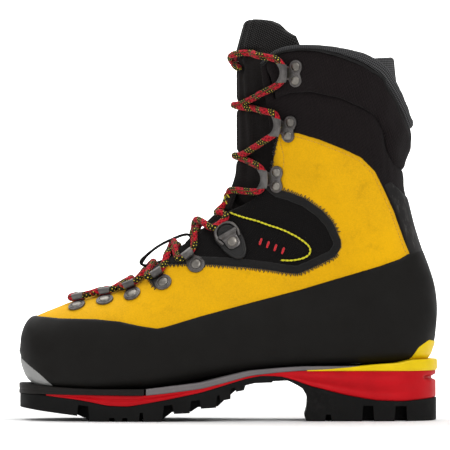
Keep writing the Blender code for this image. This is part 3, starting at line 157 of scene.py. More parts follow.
def unit(vectors):
    return vectors / np.maximum(np.linalg.norm(vectors, axis=-1, keepdims=True), 1e-9)


def run_length(points):
    steps = np.linalg.norm(np.diff(points, axis=0), axis=1)
    return np.concatenate([[0], np.cumsum(steps)])


def even(points, step, *others):
    """Points evenly spaced along a path, with other rows carried along."""
    run = run_length(points)
    want = np.linspace(0, run[-1], max(int(run[-1] / step), 2) + 1)
    out = [np.stack([np.interp(want, run, column) for column in rows.T], 1)
           for rows in (points, *others)]
    return out if others else out[0]


def smooth(values, passes, closed=False):
    out = values.copy()
    for _ in range(passes):
        if closed:
            out = out / 2 + (np.roll(out, 1, 0) + np.roll(out, -1, 0)) / 4
        else:
            out[1:-1] = out[1:-1] / 2 + (out[:-2] + out[2:]) / 4
    return out


def ramp(value, start, length):
    """Rises from 0 at start to 1 one length on; a negative length runs downward."""
    return np.clip((value - start) / length, 0, 1)


def bell(value, centre, width, power=2):
    return np.exp(-((value - centre) / width) ** power)


def quarter_round(value, radius):
    """Quarter circle rising from 0 at the edge to 1 at the radius."""
    return np.sqrt(np.clip(1 - (1 - np.clip(value / radius, 0, 1)) ** 2, 0, 1))


def rounded(edge, radius, drop):
    """Rounded edge: -drop at the edge, 0 from the radius inward."""
    return -drop * (1 - quarter_round(edge, radius))


def line_z(line, x):
    xs, zs = zip(*line)
    return np.interp(x, xs, zs)


def below(line, sheet):
    """How far points lie under a side-view line z(x), roughly perpendicular to it."""
    slope = line_z(line, sheet.x + 1) - line_z(line, sheet.x - 1)
    return (line_z(line, sheet.x) - sheet.z) / np.hypot(1, slope / 2)


def inside(outline, sheet):
    """Signed distance into a side-view outline, positive inside."""
    x, z = sheet.x, sheet.z
    corners = np.asarray(outline, float)
    dist = np.full(len(x), 1e9)
    odd = np.zeros(len(x), bool)
    for start, end in zip(corners, np.roll(corners, -1, axis=0)):
        dx, dz = end - start
        share = ((x - start[0]) * dx + (z - start[1]) * dz) / max(dx * dx + dz * dz, 1e-9)
        share = np.clip(share, 0, 1)
        dist = np.minimum(dist, np.hypot(x - start[0] - share * dx, z - start[1] - share * dz))
        crosses = (start[1] > z) != (end[1] > z)
        odd ^= crosses & (x < start[0] + (z - start[1]) * dx / (dz if abs(dz) > 1e-9 else 1e-9))
    return np.where(odd, dist, -dist)


# ---------------------------------------------------------------- the loft surface
def half_section(row, count):
    """count + 1 points evenly spaced along one side of a section, as
    (share from T to B, share of the half width)."""
    top_x, top_z, base_x, base_z, left, right, widest, roundness, squareness = row
    length = math.hypot(base_x - top_x, base_z - top_z)
    width = (right - left) / 2
    phi = np.linspace(0, math.pi, 240)
    front = phi <= math.pi / 2
    fore = np.clip(np.cos(phi), 0, 1)
    aft = np.abs(np.clip(np.cos(phi), -1, 0))
    share = np.where(front, widest * (1 - fore), widest + (1 - widest) * aft ** (2 / squareness))
    reach = np.where(front, np.sqrt(np.clip(1 - fore ** roundness, 0, 1)),
                     np.clip(np.sin(phi), 0, 1) ** (2 / squareness))
    step = np.hypot(np.diff(share) * length, np.diff(reach) * width)
    run = np.concatenate([[0], np.cumsum(step)])
    want = np.linspace(0, run[-1], count + 1)
    return np.interp(want, run, share), np.interp(want, run, reach)


def loft(places, count):
    """Grids of points, outward normals and arc lengths round from T (negative on the left),
    with 2 * count points per section."""
    grid = np.zeros((len(places), 2 * count, 3))
    arc = np.zeros(grid.shape[:2])
    for i, row in enumerate(spline(SECTIONS, places)):
        share, reach = half_section(row, count)
        mid, width = (row[4] + row[5]) / 2, (row[5] - row[4]) / 2
        x = row[0] + (row[2] - row[0]) * share
        z = row[1] + (row[3] - row[1]) * share
        left = np.stack([x, mid - width * reach, z], 1)
        right = np.stack([x, mid + width * reach, z], 1)
        run = run_length(left)
        grid[i] = np.vstack([left, right[1:-1][::-1]])
        arc[i] = np.concatenate([-run, run[1:-1][::-1]])
    round_ = np.roll(grid, -1, axis=1) - np.roll(grid, 1, axis=1)
    normal = unit(np.cross(np.gradient(grid, axis=0), round_))
    if ((grid - grid.mean(axis=1, keepdims=True)) * normal).sum() < 0:
        normal = -normal
    return grid, normal, arc


class Sheet:
    """Triangles on the loft, with points, normals and marks:
    section, arc round, run along, distance from the cut edge."""

    def __init__(self, points, normals, marks, faces):
        self.points, self.normals = points, normals
        self.marks, self.faces = marks, faces

    x = property(lambda self: self.points[:, 0])
    y = property(lambda self: self.points[:, 1])
    z = property(lambda self: self.points[:, 2])
    sec = property(lambda self: self.marks[:, 0])
    arc = property(lambda self: self.marks[:, 1])
    run = property(lambda self: self.marks[:, 2])
    edge = property(lambda self: self.marks[:, 3])
    mid = property(lambda self: np.interp(self.sec, np.arange(len(SECTIONS)), MIDS))


UNCUT = 99.0    # edge distance before any cut


def whole_sheet():
    """The whole loft as triangles, closed by a fan at the toe."""
    places = np.concatenate([np.linspace(0, 4, 61)[:-1], np.linspace(4, 32.6, 278)])
    half_count = 96
    grid, grid_normals, arc = loft(places, half_count)
    run = run_length(grid[:, half_count // 2])
    rows, cols, _ = grid.shape
    points = np.vstack([grid.reshape(-1, 3), grid[0].mean(axis=0) + [-.9, 0, 0]])
    normals = np.vstack([grid_normals.reshape(-1, 3), [-1, 0, 0]])
    marks = np.stack([np.repeat(places, cols), arc.reshape(-1), np.repeat(run, cols),
                      np.full(rows * cols, UNCUT)], 1)
    marks = np.vstack([marks, [0, 0, 0, UNCUT]])
    i, j = (a.ravel() for a in np.meshgrid(np.arange(rows - 1), np.arange(cols), indexing="ij"))
    k = (j + 1) % cols
    here, beside = i * cols + j, i * cols + k
    across, ahead = beside + cols, here + cols
    j = np.arange(cols)
    tip = rows * cols
    faces = np.concatenate([np.stack([here, beside, across], 1), np.stack([here, across, ahead], 1),
                            np.stack([np.full(cols, tip), (j + 1) % cols, j], 1)])
    first, second, third = points[faces[:, 0]], points[faces[:, 1]], points[faces[:, 2]]
    facing = np.cross(second - first, third - first)
    flip = (facing * normals[faces].mean(axis=1)).sum(axis=1) < 0
    faces[flip] = faces[flip][:, ::-1]
    return Sheet(points, normals, marks, faces)


WHOLE = whole_sheet()


def cut(sheet, value, both=False, snap=.14, edge=True):
    """Keeps the side where value is 0 or more, or both sides, with new points along the line.
    With edge, the line counts in the edge distance."""
    value = np.where(np.abs(value) < snap, 0.0, value)
    corner = value[sheet.faces]
    over, under_ = (corner > 0).any(axis=1), (corner < 0).any(axis=1)
    faces = [sheet.faces[over & ~under_]]
    if both:
        faces.append(sheet.faces[~over])
    data = np.hstack([sheet.points, sheet.normals, sheet.marks])
    added, made, extra = [], {}, []
    for tri in sheet.faces[over & under_]:
        upper, lower = [], []
        for k in range(3):
            start, end = int(tri[k]), int(tri[(k + 1) % 3])
            if value[start] >= 0:
                upper.append(start)
            if value[start] <= 0:
                lower.append(start)
            if value[start] * value[end] < 0:
                key = (min(start, end), max(start, end))
                if key not in made:
                    share = value[start] / (value[start] - value[end])
                    made[key] = len(data) + len(added)
                    added.append(data[start] + (data[end] - data[start]) * share)
                upper.append(made[key])
                lower.append(made[key])
        for corners in (upper, lower) if both else (upper,):
            for k in range(1, len(corners) - 1):
                extra.append((corners[0], corners[k], corners[k + 1]))
    if extra:
        faces.append(np.array(extra, int))
    if added:
        added = np.array(added)
        added[:, 3:6] = unit(added[:, 3:6])
        data = np.vstack([data, added])
        value = np.append(value, np.zeros(len(added)))
    faces = np.concatenate(faces)
    if edge and not both:
        data[:, 9] = np.minimum(data[:, 9], np.maximum(value, 0))
    used = np.unique(faces)
    index = np.zeros(len(data), int)
    index[used] = np.arange(len(used))
    data = data[used]
    return Sheet(data[:, :3], data[:, 3:6], data[:, 6:], index[faces])


def region(*tests, score=(), free=()):
    """Cuts the whole surface by the tests in turn; free tests don't count as sewn edges.
    Score gives edge distances along which a row of points is added."""
    sheet = WHOLE
    for test in free:
        sheet = cut(sheet, test(sheet), edge=False)
    for test in tests:
        sheet = cut(sheet, test(sheet))
    for distance in score:
        sheet = cut(sheet, sheet.edge - distance, both=True, snap=.08)
    return sheet


def iso(sheet, value):
    """Lines on the sheet where value is 0, each as (points, normals)."""
    value = np.where(np.abs(value) < 1e-6, 1e-6, value)
    corner = value[sheet.faces]
    crossed = (corner > 0).any(axis=1) & (corner < 0).any(axis=1)
    data = np.hstack([sheet.points, sheet.normals])
    link, place = {}, {}
    for tri in sheet.faces[crossed]:
        keys = []
        for k in range(3):
            low, high = sorted((int(tri[k]), int(tri[(k + 1) % 3])))
            if value[low] * value[high] < 0:
                if (low, high) not in place:
                    share = value[low] / (value[low] - value[high])
                    place[low, high] = data[low] * (1 - share) + data[high] * share
                keys.append((low, high))
        first, second = keys
        link.setdefault(first, []).append(second)
        link.setdefault(second, []).append(first)
    lines, seen = [], set()
    for key in [k for k in link if len(link[k]) == 1] + list(link):
        line = []
        while key is not None and key not in seen:
            seen.add(key)
            line.append(place[key])
            key = next((other for other in link[key] if other not in seen), None)
        if len(line) > 3:
            line = np.array(line)
            lines.append((line[:, :3], line[:, 3:]))
    return lines


# tests for region and cut: 0 or more where the surface is kept
def under(line, gap=0):
    return lambda sheet: below(line, sheet) - gap


def within(outline, gap=0):
    return lambda sheet: inside(outline, sheet) - gap


def above_feather(gap):
    return lambda sheet: -below(FEATHER, sheet) - gap


def on_side(sign):
    return lambda sheet: (sheet.y - sheet.mid) * sign


def share_back(sheet):
    """Share of the way from T to B, and the share at which the section is widest."""
    row = spline(SECTIONS, sheet.sec)
    dx, dz = row[:, 2] - row[:, 0], row[:, 3] - row[:, 1]
    share = ((sheet.x - row[:, 0]) * dx + (sheet.z - row[:, 1]) * dz) / np.hypot(dx, dz) ** 2
    return share, row[:, 6]


# half width of the lacing opening by section
THROAT_SEC = [0, 6.4, 6.8, 8, 10, 12, 15, 18, 22, 31]
THROAT_HALF = [-30, -6, 6, 11, 14.5, 15, 16, 21.5, 28, 31]


def throat(sheet):
    """Distance outside the lacing opening's edge."""
    half = np.interp(sheet.sec, THROAT_SEC, THROAT_HALF)
    share, widest = share_back(sheet)
    return np.where(share > widest, 40.0, np.abs(sheet.y - sheet.mid) - half)


# ---------------------------------------------------------------- materials
class Mat:
    """A Principled material and short ways to add its nodes."""

    def __init__(self, name, base, rough, metal=0.0, **inputs):
        self.material = bpy.data.materials.new(name)
        self.material.use_nodes = True
        self.tree = self.material.node_tree
        self.bsdf = self.tree.nodes["Principled BSDF"]
        inputs.update(Base_Color=(*base, 1), Roughness=rough, Metallic=metal)
        for key, value in inputs.items():
            self.bsdf.inputs[key.replace("_", " ")].default_value = value
        self.coords = self.add("ShaderNodeTexCoord", 3)
        self.normal = self.surf_vector = None

    def add(self, kind, out=0, **settings):
        """New node's output; p_name sets a property, i0 an input by number, others by name."""
        node = self.tree.nodes.new(kind)
        for key, value in settings.items():
            if key.startswith("p_"):
                setattr(node, key[2:], value)
                continue
            by_number = key[0] == "i" and key[1:].isdigit()
            socket = node.inputs[int(key[1:]) if by_number else key.replace("_", " ")]
            if isinstance(value, bpy.types.NodeSocket):
                self.tree.links.new(value, socket)
            else:
                socket.default_value = value
        return node.outputs[out]

    def link(self, **sockets):
        for key, socket in sockets.items():
            self.tree.links.new(socket, self.bsdf.inputs[key.replace("_", " ")])

    def surf(self, axis):
        """Component of the surf attribute: 0 round the piece, 1 along it, 2 edge distance."""
        if self.surf_vector is None:
            self.surf_vector = self.add("ShaderNodeAttribute", 1, p_attribute_name="surf")
        return self.add("ShaderNodeSeparateXYZ", axis, Vector=self.surf_vector)

    def math(self, operation, first, second=0.0):
        return self.add("ShaderNodeMath", p_operation=operation, i0=first, i1=second)

    def times(self, first, second):
        return self.math("MULTIPLY", first, second)

    def plus(self, first, second):
        return self.math("ADD", first, second)

    def minus(self, first, second):
        return self.math("SUBTRACT", first, second)

    def sine(self, angle):
        return self.math("SINE", angle)

    def noise(self, scale, detail=3.0, rough=.6, stretch=None):
        vector = self.coords
        if stretch:
            vector = self.add("ShaderNodeMapping", Vector=vector, Scale=stretch)
        return self.add("ShaderNodeTexNoise", Vector=vector, Scale=scale, Detail=detail,
                        Roughness=rough)

    def range(self, value, span, to=(0, 1), curve="LINEAR"):
        return self.add("ShaderNodeMapRange", p_interpolation_type=curve, Value=value,
                        From_Min=span[0], From_Max=span[1], To_Min=to[0], To_Max=to[1])

    def patches(self, span, to=(0, 1), **noise):
        """Noise with the span stretched to a range."""
        return self.range(self.noise(**noise), span, to)

    def mix(self, factor, first, second):
        first, second = ((*c, 1) if isinstance(c, tuple) else c for c in (first, second))
        return self.add("ShaderNodeMix", 2, p_data_type="RGBA", i0=factor, i6=first, i7=second)

    def bump(self, height, strength, depth):
        """Adds a bump over the earlier ones; depth in millimetres."""
        before = {} if self.normal is None else {"Normal": self.normal}
        self.normal = self.add("ShaderNodeBump", Height=height, Strength=strength,
                               Distance=depth * MM, **before)
        self.link(Normal=self.normal)


def scaled(colour, factor):
    return tuple(min(channel * factor, 1.0) for channel in colour)


def leather(name, base):
    """Napped leather, darker at cut edges and in smudges."""
    mat = Mat(name, base, rough=.88, Sheen_Weight=.08, Sheen_Roughness=.5,
              Specular_IOR_Level=.15, Sheen_Tint=(1, .85, .5, 1))
    broad = mat.noise(scale=28, detail=4, rough=.55)
    nap = mat.noise(scale=900, detail=5, rough=.7)
    tone = mat.mix(mat.range(broad, span=(.3, .7)), scaled(base, .9), scaled(base, 1.1))
    fleck = mat.times(mat.range(nap, span=(.35, .65)), .5)
    near_edge = mat.range(mat.surf(2), span=(0, 2.4), to=(.55, 0))
    clean = mat.mix(near_edge, mat.mix(fleck, tone, scaled(base, 1.35)), scaled(base, .42))
    smudge = mat.patches(scale=60, detail=6, rough=.7, span=(.56, .78), to=(0, .45))
    mat.link(Base_Color=mat.mix(smudge, clean, scaled(base, .5)),
             Roughness=mat.range(broad, span=(.3, .7), to=(.8, .95)))
    mat.bump(nap, strength=.55, depth=.12)
    mat.bump(mat.noise(scale=260), strength=.35, depth=.25)
    mat.bump(mat.noise(scale=45, detail=2, rough=.5), strength=.35, depth=.9)
    return mat.material


def rubber(name, base, rough, fine, dust):
    """Rubber with a fine grain (its noise scale) and patches of pale dust."""
    mat = Mat(name, base, rough, Specular_IOR_Level=.13)
    dusty = mat.patches(scale=22, detail=6, rough=.65, span=(.5, .75), to=(0, dust))
    grainy = mat.patches(scale=240, detail=4, rough=.7, span=(.45, .8))
    gloss = mat.patches(scale=60, detail=4, span=(.3, .7), to=(rough - .07, rough + .1))
    mat.link(Base_Color=mat.mix(mat.times(dusty, grainy), base, (.028, .0265, .025)),
             Roughness=mat.plus(gloss, mat.times(dusty, .25)))
    mat.bump(mat.noise(scale=fine), strength=.3, depth=.06)
    mat.bump(mat.noise(scale=120, rough=.5), strength=.18, depth=.25)
    return mat.material


def weave(name, base, pitch, light, ribbed=False, fuzz=.3, depth=.35):
    """Woven or ribbed cloth driven by the distances round and along the shell, in mm."""
    mat = Mat(name, base, rough=.93, Sheen_Weight=fuzz * .12, Sheen_Roughness=.6,
              Specular_IOR_Level=.05)
    jitter = mat.times(mat.noise(scale=420, detail=2, rough=.5), .9)
    round_ = mat.plus(mat.surf(0), jitter)
    along = mat.plus(mat.surf(1), jitter)
    warp = mat.sine(mat.times(round_, TAU / pitch[0]))
    # every other warp thread shifts the weft by half a turn
    shift = mat.times(mat.math("FLOOR", mat.math("DIVIDE", round_, pitch[0])), math.pi)
    weft = mat.sine(mat.plus(mat.times(along, TAU / pitch[1]), shift))
    threads = mat.plus(mat.times(warp, .5 if ribbed else .25), mat.times(weft, .3))
    height = mat.plus(threads, mat.times(mat.noise(scale=650, detail=4, rough=.7), .8))
    colour = mat.mix(mat.range(height, span=(-.2, 1)), scaled(base, .35),
                     scaled(base, light * 1.25))
    pale = mat.times(mat.patches(scale=34, detail=4, span=(.35, .7)), .35)
    mat.link(Base_Color=mat.mix(pale, colour, scaled(base, 2.3)))
    mat.bump(height, strength=.6, depth=depth)
    mat.bump(mat.noise(scale=70, rough=.5), strength=.3, depth=.7)
    return mat.material


def mesh_knit(name, base, cell, light):
    """Open knit with a lattice of small holes, one per cell in mm."""
    mat = Mat(name, base, rough=.9, Sheen_Weight=.04, Sheen_Roughness=.5, Specular_IOR_Level=.08)
    round_, along = mat.surf(0), mat.surf(1)
    turn = TAU / cell / 1.41
    rising = mat.sine(mat.times(mat.plus(round_, along), turn))
    falling = mat.sine(mat.times(mat.minus(round_, along), turn))
    height = mat.plus(mat.times(rising, falling), mat.times(mat.noise(scale=900), .35))
    mat.link(Base_Color=mat.mix(mat.range(height, span=(0, .9)), scaled(base, .6),
                                scaled(base, light)))
    mat.bump(height, strength=.7, depth=.4)
    return mat.material


def worn_strip():
    """Smooth rubber with pale scuffs a little in from its edge."""
    mat = Mat("heel_strip_worn", (.012, .0108, .0105), rough=.6, Specular_IOR_Level=.16)
    edge = mat.surf(2)
    near = mat.times(mat.range(edge, span=(.4, 2)), mat.range(edge, span=(9, 3)))
    streak = mat.patches(scale=130, detail=6, rough=.75, stretch=(1.0, 1.0, .35),
                         span=(.52, .66))
    tone = mat.mix(mat.patches(scale=40, detail=4, span=(.35, .7)),
                   (.0095, .0086, .0084), (.0165, .015, .0145))
    scuff = mat.times(mat.times(near, streak), .8)
    mat.link(Base_Color=mat.mix(scuff, tone, (.115, .108, .102)),
             Roughness=mat.patches(scale=60, detail=4, span=(.3, .7), to=(.5, .72)))
    mat.bump(mat.noise(scale=700), strength=.3, depth=.06)
    mat.bump(mat.noise(scale=100, detail=4), strength=.3, depth=.35)
    return mat.material


def metal(name, base, rough):
    mat = Mat(name, base, rough, metal=1.0)
    grain = mat.noise(scale=300, detail=5, rough=.7)
    mat.link(Base_Color=mat.mix(mat.patches(scale=90, detail=4, span=(.35, .7)),
                                scaled(base, .62), scaled(base, 1.25)),
             Roughness=mat.range(grain, span=(.3, .7), to=(rough - .08, rough + .16)))
    mat.bump(mat.noise(scale=1400, stretch=(1, .2, 1)), strength=.12, depth=.04)
    return mat.material


def plastic(name, base, rough=.5, grain=700.0, strength=.25, dark=.85, coat=0.0, specular=.14):
    """Moulded plastic; dark scales the colour of its darker patches."""
    mat = Mat(name, base, rough, Coat_Weight=coat * .3, Coat_Roughness=.3,
              Specular_IOR_Level=specular)
    tone = mat.mix(mat.patches(scale=40, detail=4, span=(.3, .7)), scaled(base, dark),
                   scaled(base, 1.08))
    speck = mat.patches(scale=320, detail=5, rough=.7, span=(.62, .8), to=(0, .4))
    mat.link(Base_Color=mat.mix(speck, tone, scaled(base, .6)),
             Roughness=mat.patches(scale=120, detail=4, span=(.3, .7),
                                   to=(rough - .06, rough + .1)))
    mat.bump(mat.noise(scale=grain), strength=strength, depth=.08)
    mat.bump(mat.noise(scale=90, detail=2, rough=.5), strength=.1, depth=.3)
    return mat.material


def thread(name, base):
    mat = Mat(name, base, rough=.8, Sheen_Weight=.2)
    twist = mat.add("ShaderNodeTexWave", 1, Vector=mat.coords, Scale=520.0, Distortion=2.0,
                    p_bands_direction="DIAGONAL")
    mat.link(Base_Color=mat.mix(mat.range(twist, span=(.2, .8)), scaled(base, .65),
                                scaled(base, 1.15)))
    mat.bump(twist, strength=.6, depth=.12)
    return mat.material


def lace_braid():
    """Red braided cord with dark spiral runs and small yellow flecks."""
    mat = Mat("lace_braid", (.40, .010, .016), rough=.8, Sheen_Weight=.05,
              Specular_IOR_Level=.12)
    angle, run = mat.surf(0), mat.surf(1)

    def lattice(strands, pitch):
        """Two sets of strands winding opposite ways."""
        turn, climb = mat.times(angle, strands), mat.times(run, TAU / pitch)
        return mat.sine(mat.plus(turn, climb)), mat.sine(mat.minus(turn, climb))

    height = mat.math("MAXIMUM", *lattice(strands=5.0, pitch=4.2))
    spiral = mat.sine(mat.plus(angle, mat.times(run, TAU / 15.0)))
    red = mat.mix(mat.range(height, span=(-.2, 1)), (.19, .003, .008), (.50, .012, .024))
    black = mat.mix(mat.range(height, span=(-.2, 1)), (.004, .0045, .002), (.018, .021, .009))
    colour = mat.mix(mat.range(spiral, span=(.05, .2)), red, black)
    # the fleck lattice makes its own products for each winding direction
    cells = [mat.sine(mat.math(way, mat.times(angle, 4.0), mat.times(run, TAU / 2.4)))
             for way in ("ADD", "SUBTRACT")]
    crossing = mat.times(*(mat.range(cell, span=(.5, .62)) for cell in cells))
    fleck = mat.times(crossing, mat.range(spiral, span=(-.05, .15)))
    mat.link(Base_Color=mat.mix(fleck, colour, (.80, .62, .05)))
    mat.bump(height, strength=.9, depth=.35)
    mat.bump(mat.noise(scale=1500, rough=.7), strength=.3, depth=.08)
    return mat.material


LEATHER = leather("nubuck_yellow", (.665, .352, .0015))
RAND_RUBBER = rubber("rand_rubber_moulded", (.0068, .0062, .0054), rough=.6, fine=800, dust=.25)
TREAD_RUBBER = rubber("tread_rubber", (.0065, .0064, .0062), rough=.76, fine=420, dust=.8)
WELT_RUBBER = rubber("welt_rubber", (.0135, .0120, .0112), rough=.62, fine=500, dust=.5)
HEEL_STRIP = worn_strip()
CUFF_CLOTH = weave("cuff_weave", (.0058, .0044, .0046), pitch=(1.15, 2.6), light=2.3,
                   ribbed=True, fuzz=.25)
FELT = weave("flex_felt", (.0034, .0030, .0030), pitch=(1.6, 1.6), light=2.2, depth=.5)
EDGING = weave("binding_fuzz", (.0075, .0072, .0072), pitch=(.8, .8), light=2.4, fuzz=.6,
               depth=.5)
TONGUE_CLOTH = weave("tongue_weave", (.0072, .0062, .0060), pitch=(1.3, 1.3), light=2.3)
TONGUE_KNIT = mesh_knit("tongue_knit", (.0085, .0082, .0080), cell=2.6, light=5.0)
COLLAR_KNIT = mesh_knit("collar_knit", (.036, .036, .037), cell=2.0, light=2.9)
LINING_KNIT = mesh_knit("lining_knit", (.020, .020, .021), cell=2.4, light=2.2)
TAB_KNIT = mesh_knit("tab_knit", (.052, .052, .053), cell=2.0, light=2.2)
FOOTBED_CLOTH = mesh_knit("footbed_cloth", (.05, .05, .055), cell=2.6, light=1.8)
RED = plastic("midsole_red", (.50, .0022, .0072), grain=500, strength=.3, dark=.86)
BAND_GREY = plastic("band_grey", (.17, .155, .158), rough=.6, grain=600)
HEEL_YELLOW = plastic("heel_yellow", (.80, .56, .0015), rough=.46, grain=500, strength=.2,
                      dark=.9, coat=.2)
TOE_GREY = plastic("toe_insert_grey", (.30, .30, .292), rough=.55, grain=500, dark=.9)
BLACK_PLASTIC = plastic("moulded_black", (.0125, .0118, .0115), strength=.3, specular=.3)
METAL = metal("pewter", (.155, .145, .140), rough=.44)
RIVET_METAL = metal("rivet_pewter", (.25, .232, .208), rough=.4)
BLACK_THREAD = thread("thread_black", (.012, .011, .011))
YELLOW_THREAD = thread("thread_yellow", (.62, .36, .02))
LEMON_THREAD = thread("thread_lemon", (.72, .66, .004))
RED_THREAD = thread("thread_red", (.60, .004, .012))
CORD = weave("cord_black", (.008, .008, .008), pitch=(.9, .9), light=2.0, fuzz=.2, depth=.3)
LACE = lace_braid()
BOARD = plastic("board_fibre", (.25, .2, .14), rough=.85, grain=300, strength=.5)

# colour slot of the pieces made of each material
SLOTS = {mat.name: slot for slot, mats in {
    "yellow_leather": (LEATHER, YELLOW_THREAD, LEMON_THREAD),
    "black_fabric": (CUFF_CLOTH, FELT, EDGING, TONGUE_CLOTH, TONGUE_KNIT, BLACK_THREAD),
    "rand_rubber": (RAND_RUBBER, HEEL_STRIP),
    "black_rubber": (TREAD_RUBBER, WELT_RUBBER),
    "grey_knit": (COLLAR_KNIT, TAB_KNIT),
    "lining": (LINING_KNIT,),
    "red_midsole": (RED,),
    "grey_band": (BAND_GREY,),
    "yellow_plastic": (HEEL_YELLOW,),
    "light_grey_insert": (TOE_GREY,),
    "black_plastic": (BLACK_PLASTIC,),
    "gunmetal": (METAL, RIVET_METAL),
    "black_cord": (CORD,),
    "lace_red": (LACE, RED_THREAD),
}.items() for mat in mats}

# ---------------------------------------------------------------- objects
BENDS = []    # pieces between foot and shaft, baked in place and joined to no body


def add_object(name, mesh):
    ob = bpy.data.objects.new(name, mesh)
    bpy.context.scene.collection.objects.link(ob)
    return ob


def attach(ob, body):
    if body == "bend":
        BENDS.append(ob)
    else:
        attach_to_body(ob, body)


def face_outward(mesh):
    shape = bmesh.new()
    shape.from_mesh(mesh)
    bmesh.ops.recalc_face_normals(shape, faces=shape.faces)
    shape.to_mesh(mesh)
    shape.free()


def shade(mesh, angle):
    """Smooth shading with edges sharper than the angle left sharp."""
    mesh.shade_smooth()
    mesh.set_sharp_from_angle(angle=math.radians(angle))


def make(name, verts, faces, material, body=None, marks=None, angle=None):
    mesh = bpy.data.meshes.new(name)
    verts = np.asarray(verts, float) * MM
    mesh.from_pydata(verts.tolist(), [], [[int(i) for i in face] for face in faces])
    mesh.validate()
    if marks is not None:
        surf = mesh.attributes.new("surf", "FLOAT_VECTOR", "POINT")
        surf.data.foreach_set("vector", np.asarray(marks, float).ravel())
    mesh.materials.append(material)
    ob = add_object(name, mesh)
    if angle:
        shade(mesh, angle)
    if body:
        attach(ob, body)
    SLOTS[material.name]
    return ob


def panel(name, sheet, off, thick, material, body, angle=60):
    """Closed solid of a sheet: outer face off above the loft, inner face thick below it."""
    count = len(sheet.points)
    off = np.broadcast_to(off, count)[:, None]
    outer = sheet.points + sheet.normals * off
    inner = sheet.points + sheet.normals * (off - thick)
    faces = sheet.faces
    edges = np.concatenate([faces[:, [0, 1]], faces[:, [1, 2]], faces[:, [2, 0]]])
    _, index, uses = np.unique(np.sort(edges, axis=1), axis=0, return_index=True,
                               return_counts=True)
    start, end = edges[index[uses == 1]].T
    faces = np.concatenate([faces, faces[:, ::-1] + count,
                            np.stack([end, start, start + count], 1),
                            np.stack([end, start + count, end + count], 1)])
    marks = sheet.marks[:, 1:]
    return make(name, np.vstack([outer, inner]), faces, material, body,
                np.vstack([marks, marks]), angle)


def ring_faces(rows, around, closed=False):
    """Faces joining rings of points, with end caps unless the rings close on themselves."""
    faces = []
    for i in range(rows if closed else rows - 1):
        here, ahead = i * around, (i + 1) % rows * around
        for j in range(around):
            k = (j + 1) % around
            faces.append((here + j, here + k, ahead + k, ahead + j))
    if not closed:
        last = (rows - 1) * around
        faces += [tuple(range(around))[::-1], tuple(range(last, last + around))]
    return faces


def slab_faces(rows, cols, row_step, layer_step):
    """Faces of a grid of points in two layers, joined round the edge."""
    faces = []
    for i in range(rows - 1):
        for j in range(cols - 1):
            near = i * row_step + j
            far = near + layer_step
            faces.append((near, near + 1, near + 1 + row_step, near + row_step))
            faces.append((far, far + row_step, far + 1 + row_step, far + 1))
        for near in (i * row_step, i * row_step + cols - 1):
            far = near + layer_step
            faces.append((near, near + row_step, far + row_step, far))
    for j in range(cols - 1):
        for near in (j, (rows - 1) * row_step + j):
            far = near + layer_step
            faces.append((near, near + 1, far + 1, far))
    return faces


def sweep(path, radii, sides, normals=None, flat=1.0, closed=False, squareness=2.0):
    """Tube along a path, as verts, faces and marks (angle, run, 0).
    Flat scales it along the given normals."""
    path = np.asarray(path, float)
    count = len(path)
    if closed:
        along = unit(np.roll(path, -1, 0) - np.roll(path, 1, 0))
    else:
        along = unit(np.gradient(path, axis=0))
    if normals is None:
        carried = np.array([0, 0, 1.0] if abs(along[0][2]) < .9 else [1.0, 0, 0])
        upward = np.zeros((count, 3))
        for i in range(count):
            carried = unit(carried - along[i] * (carried @ along[i]))
            upward[i] = carried
    else:
        upward = unit(normals - along * (normals * along).sum(axis=1, keepdims=True))
    sideways = np.cross(along, upward)
    angle = np.linspace(0, TAU, sides, endpoint=False)
    cos, sin = np.cos(angle), np.sin(angle)
    corner = (np.abs(cos) ** squareness + np.abs(sin) ** squareness) ** (-1 / squareness)
    cos, sin = (cos * corner)[None, :, None], (sin * corner)[None, :, None]
    radii = np.broadcast_to(np.asarray(radii, float), (count,))[:, None, None]
    verts = path[:, None] + (sideways[:, None] * cos + upward[:, None] * sin * flat) * radii
    marks = np.stack([np.tile(angle, count), np.repeat(run_length(path), sides),
                      np.zeros(count * sides)], 1)
    return verts.reshape(-1, 3), ring_faces(count, sides, closed), marks


class Build:
    """Collects pieces of mesh into one object."""

    def __init__(self):
        self.verts, self.faces, self.marks, self.count = [], [], [], 0

    def put(self, verts, faces, marks=None):
        self.verts.append(np.asarray(verts, float))
        self.faces += [tuple(i + self.count for i in face) for face in faces]
        self.marks.append(np.zeros((len(verts), 3)) if marks is None else marks)
        self.count += len(verts)

    def mount(self, seat, piece):
        """Puts a piece, given in a seat's frame, at the seat."""
        self.put(seat(piece[0]), piece[1])

    def done(self, name, material, body, angle=40):
        ob = make(name, np.vstack(self.verts), self.faces, material, marks=np.vstack(self.marks))
        face_outward(ob.data)
        shade(ob.data, angle)
        attach(ob, body)
        return ob


# ---------------------------------------------------------------- upper
def fuzz(sheet, height, pitch):
    """Small waves that make cloth uneven; pitch in radians per mm."""
    arc, run = sheet.arc * pitch, sheet.run
    return height * (np.sin(arc) * np.cos(run * pitch * 1.13 + 1.0)
                     + .5 * np.sin(arc * 2.3 + run * pitch * 1.7))


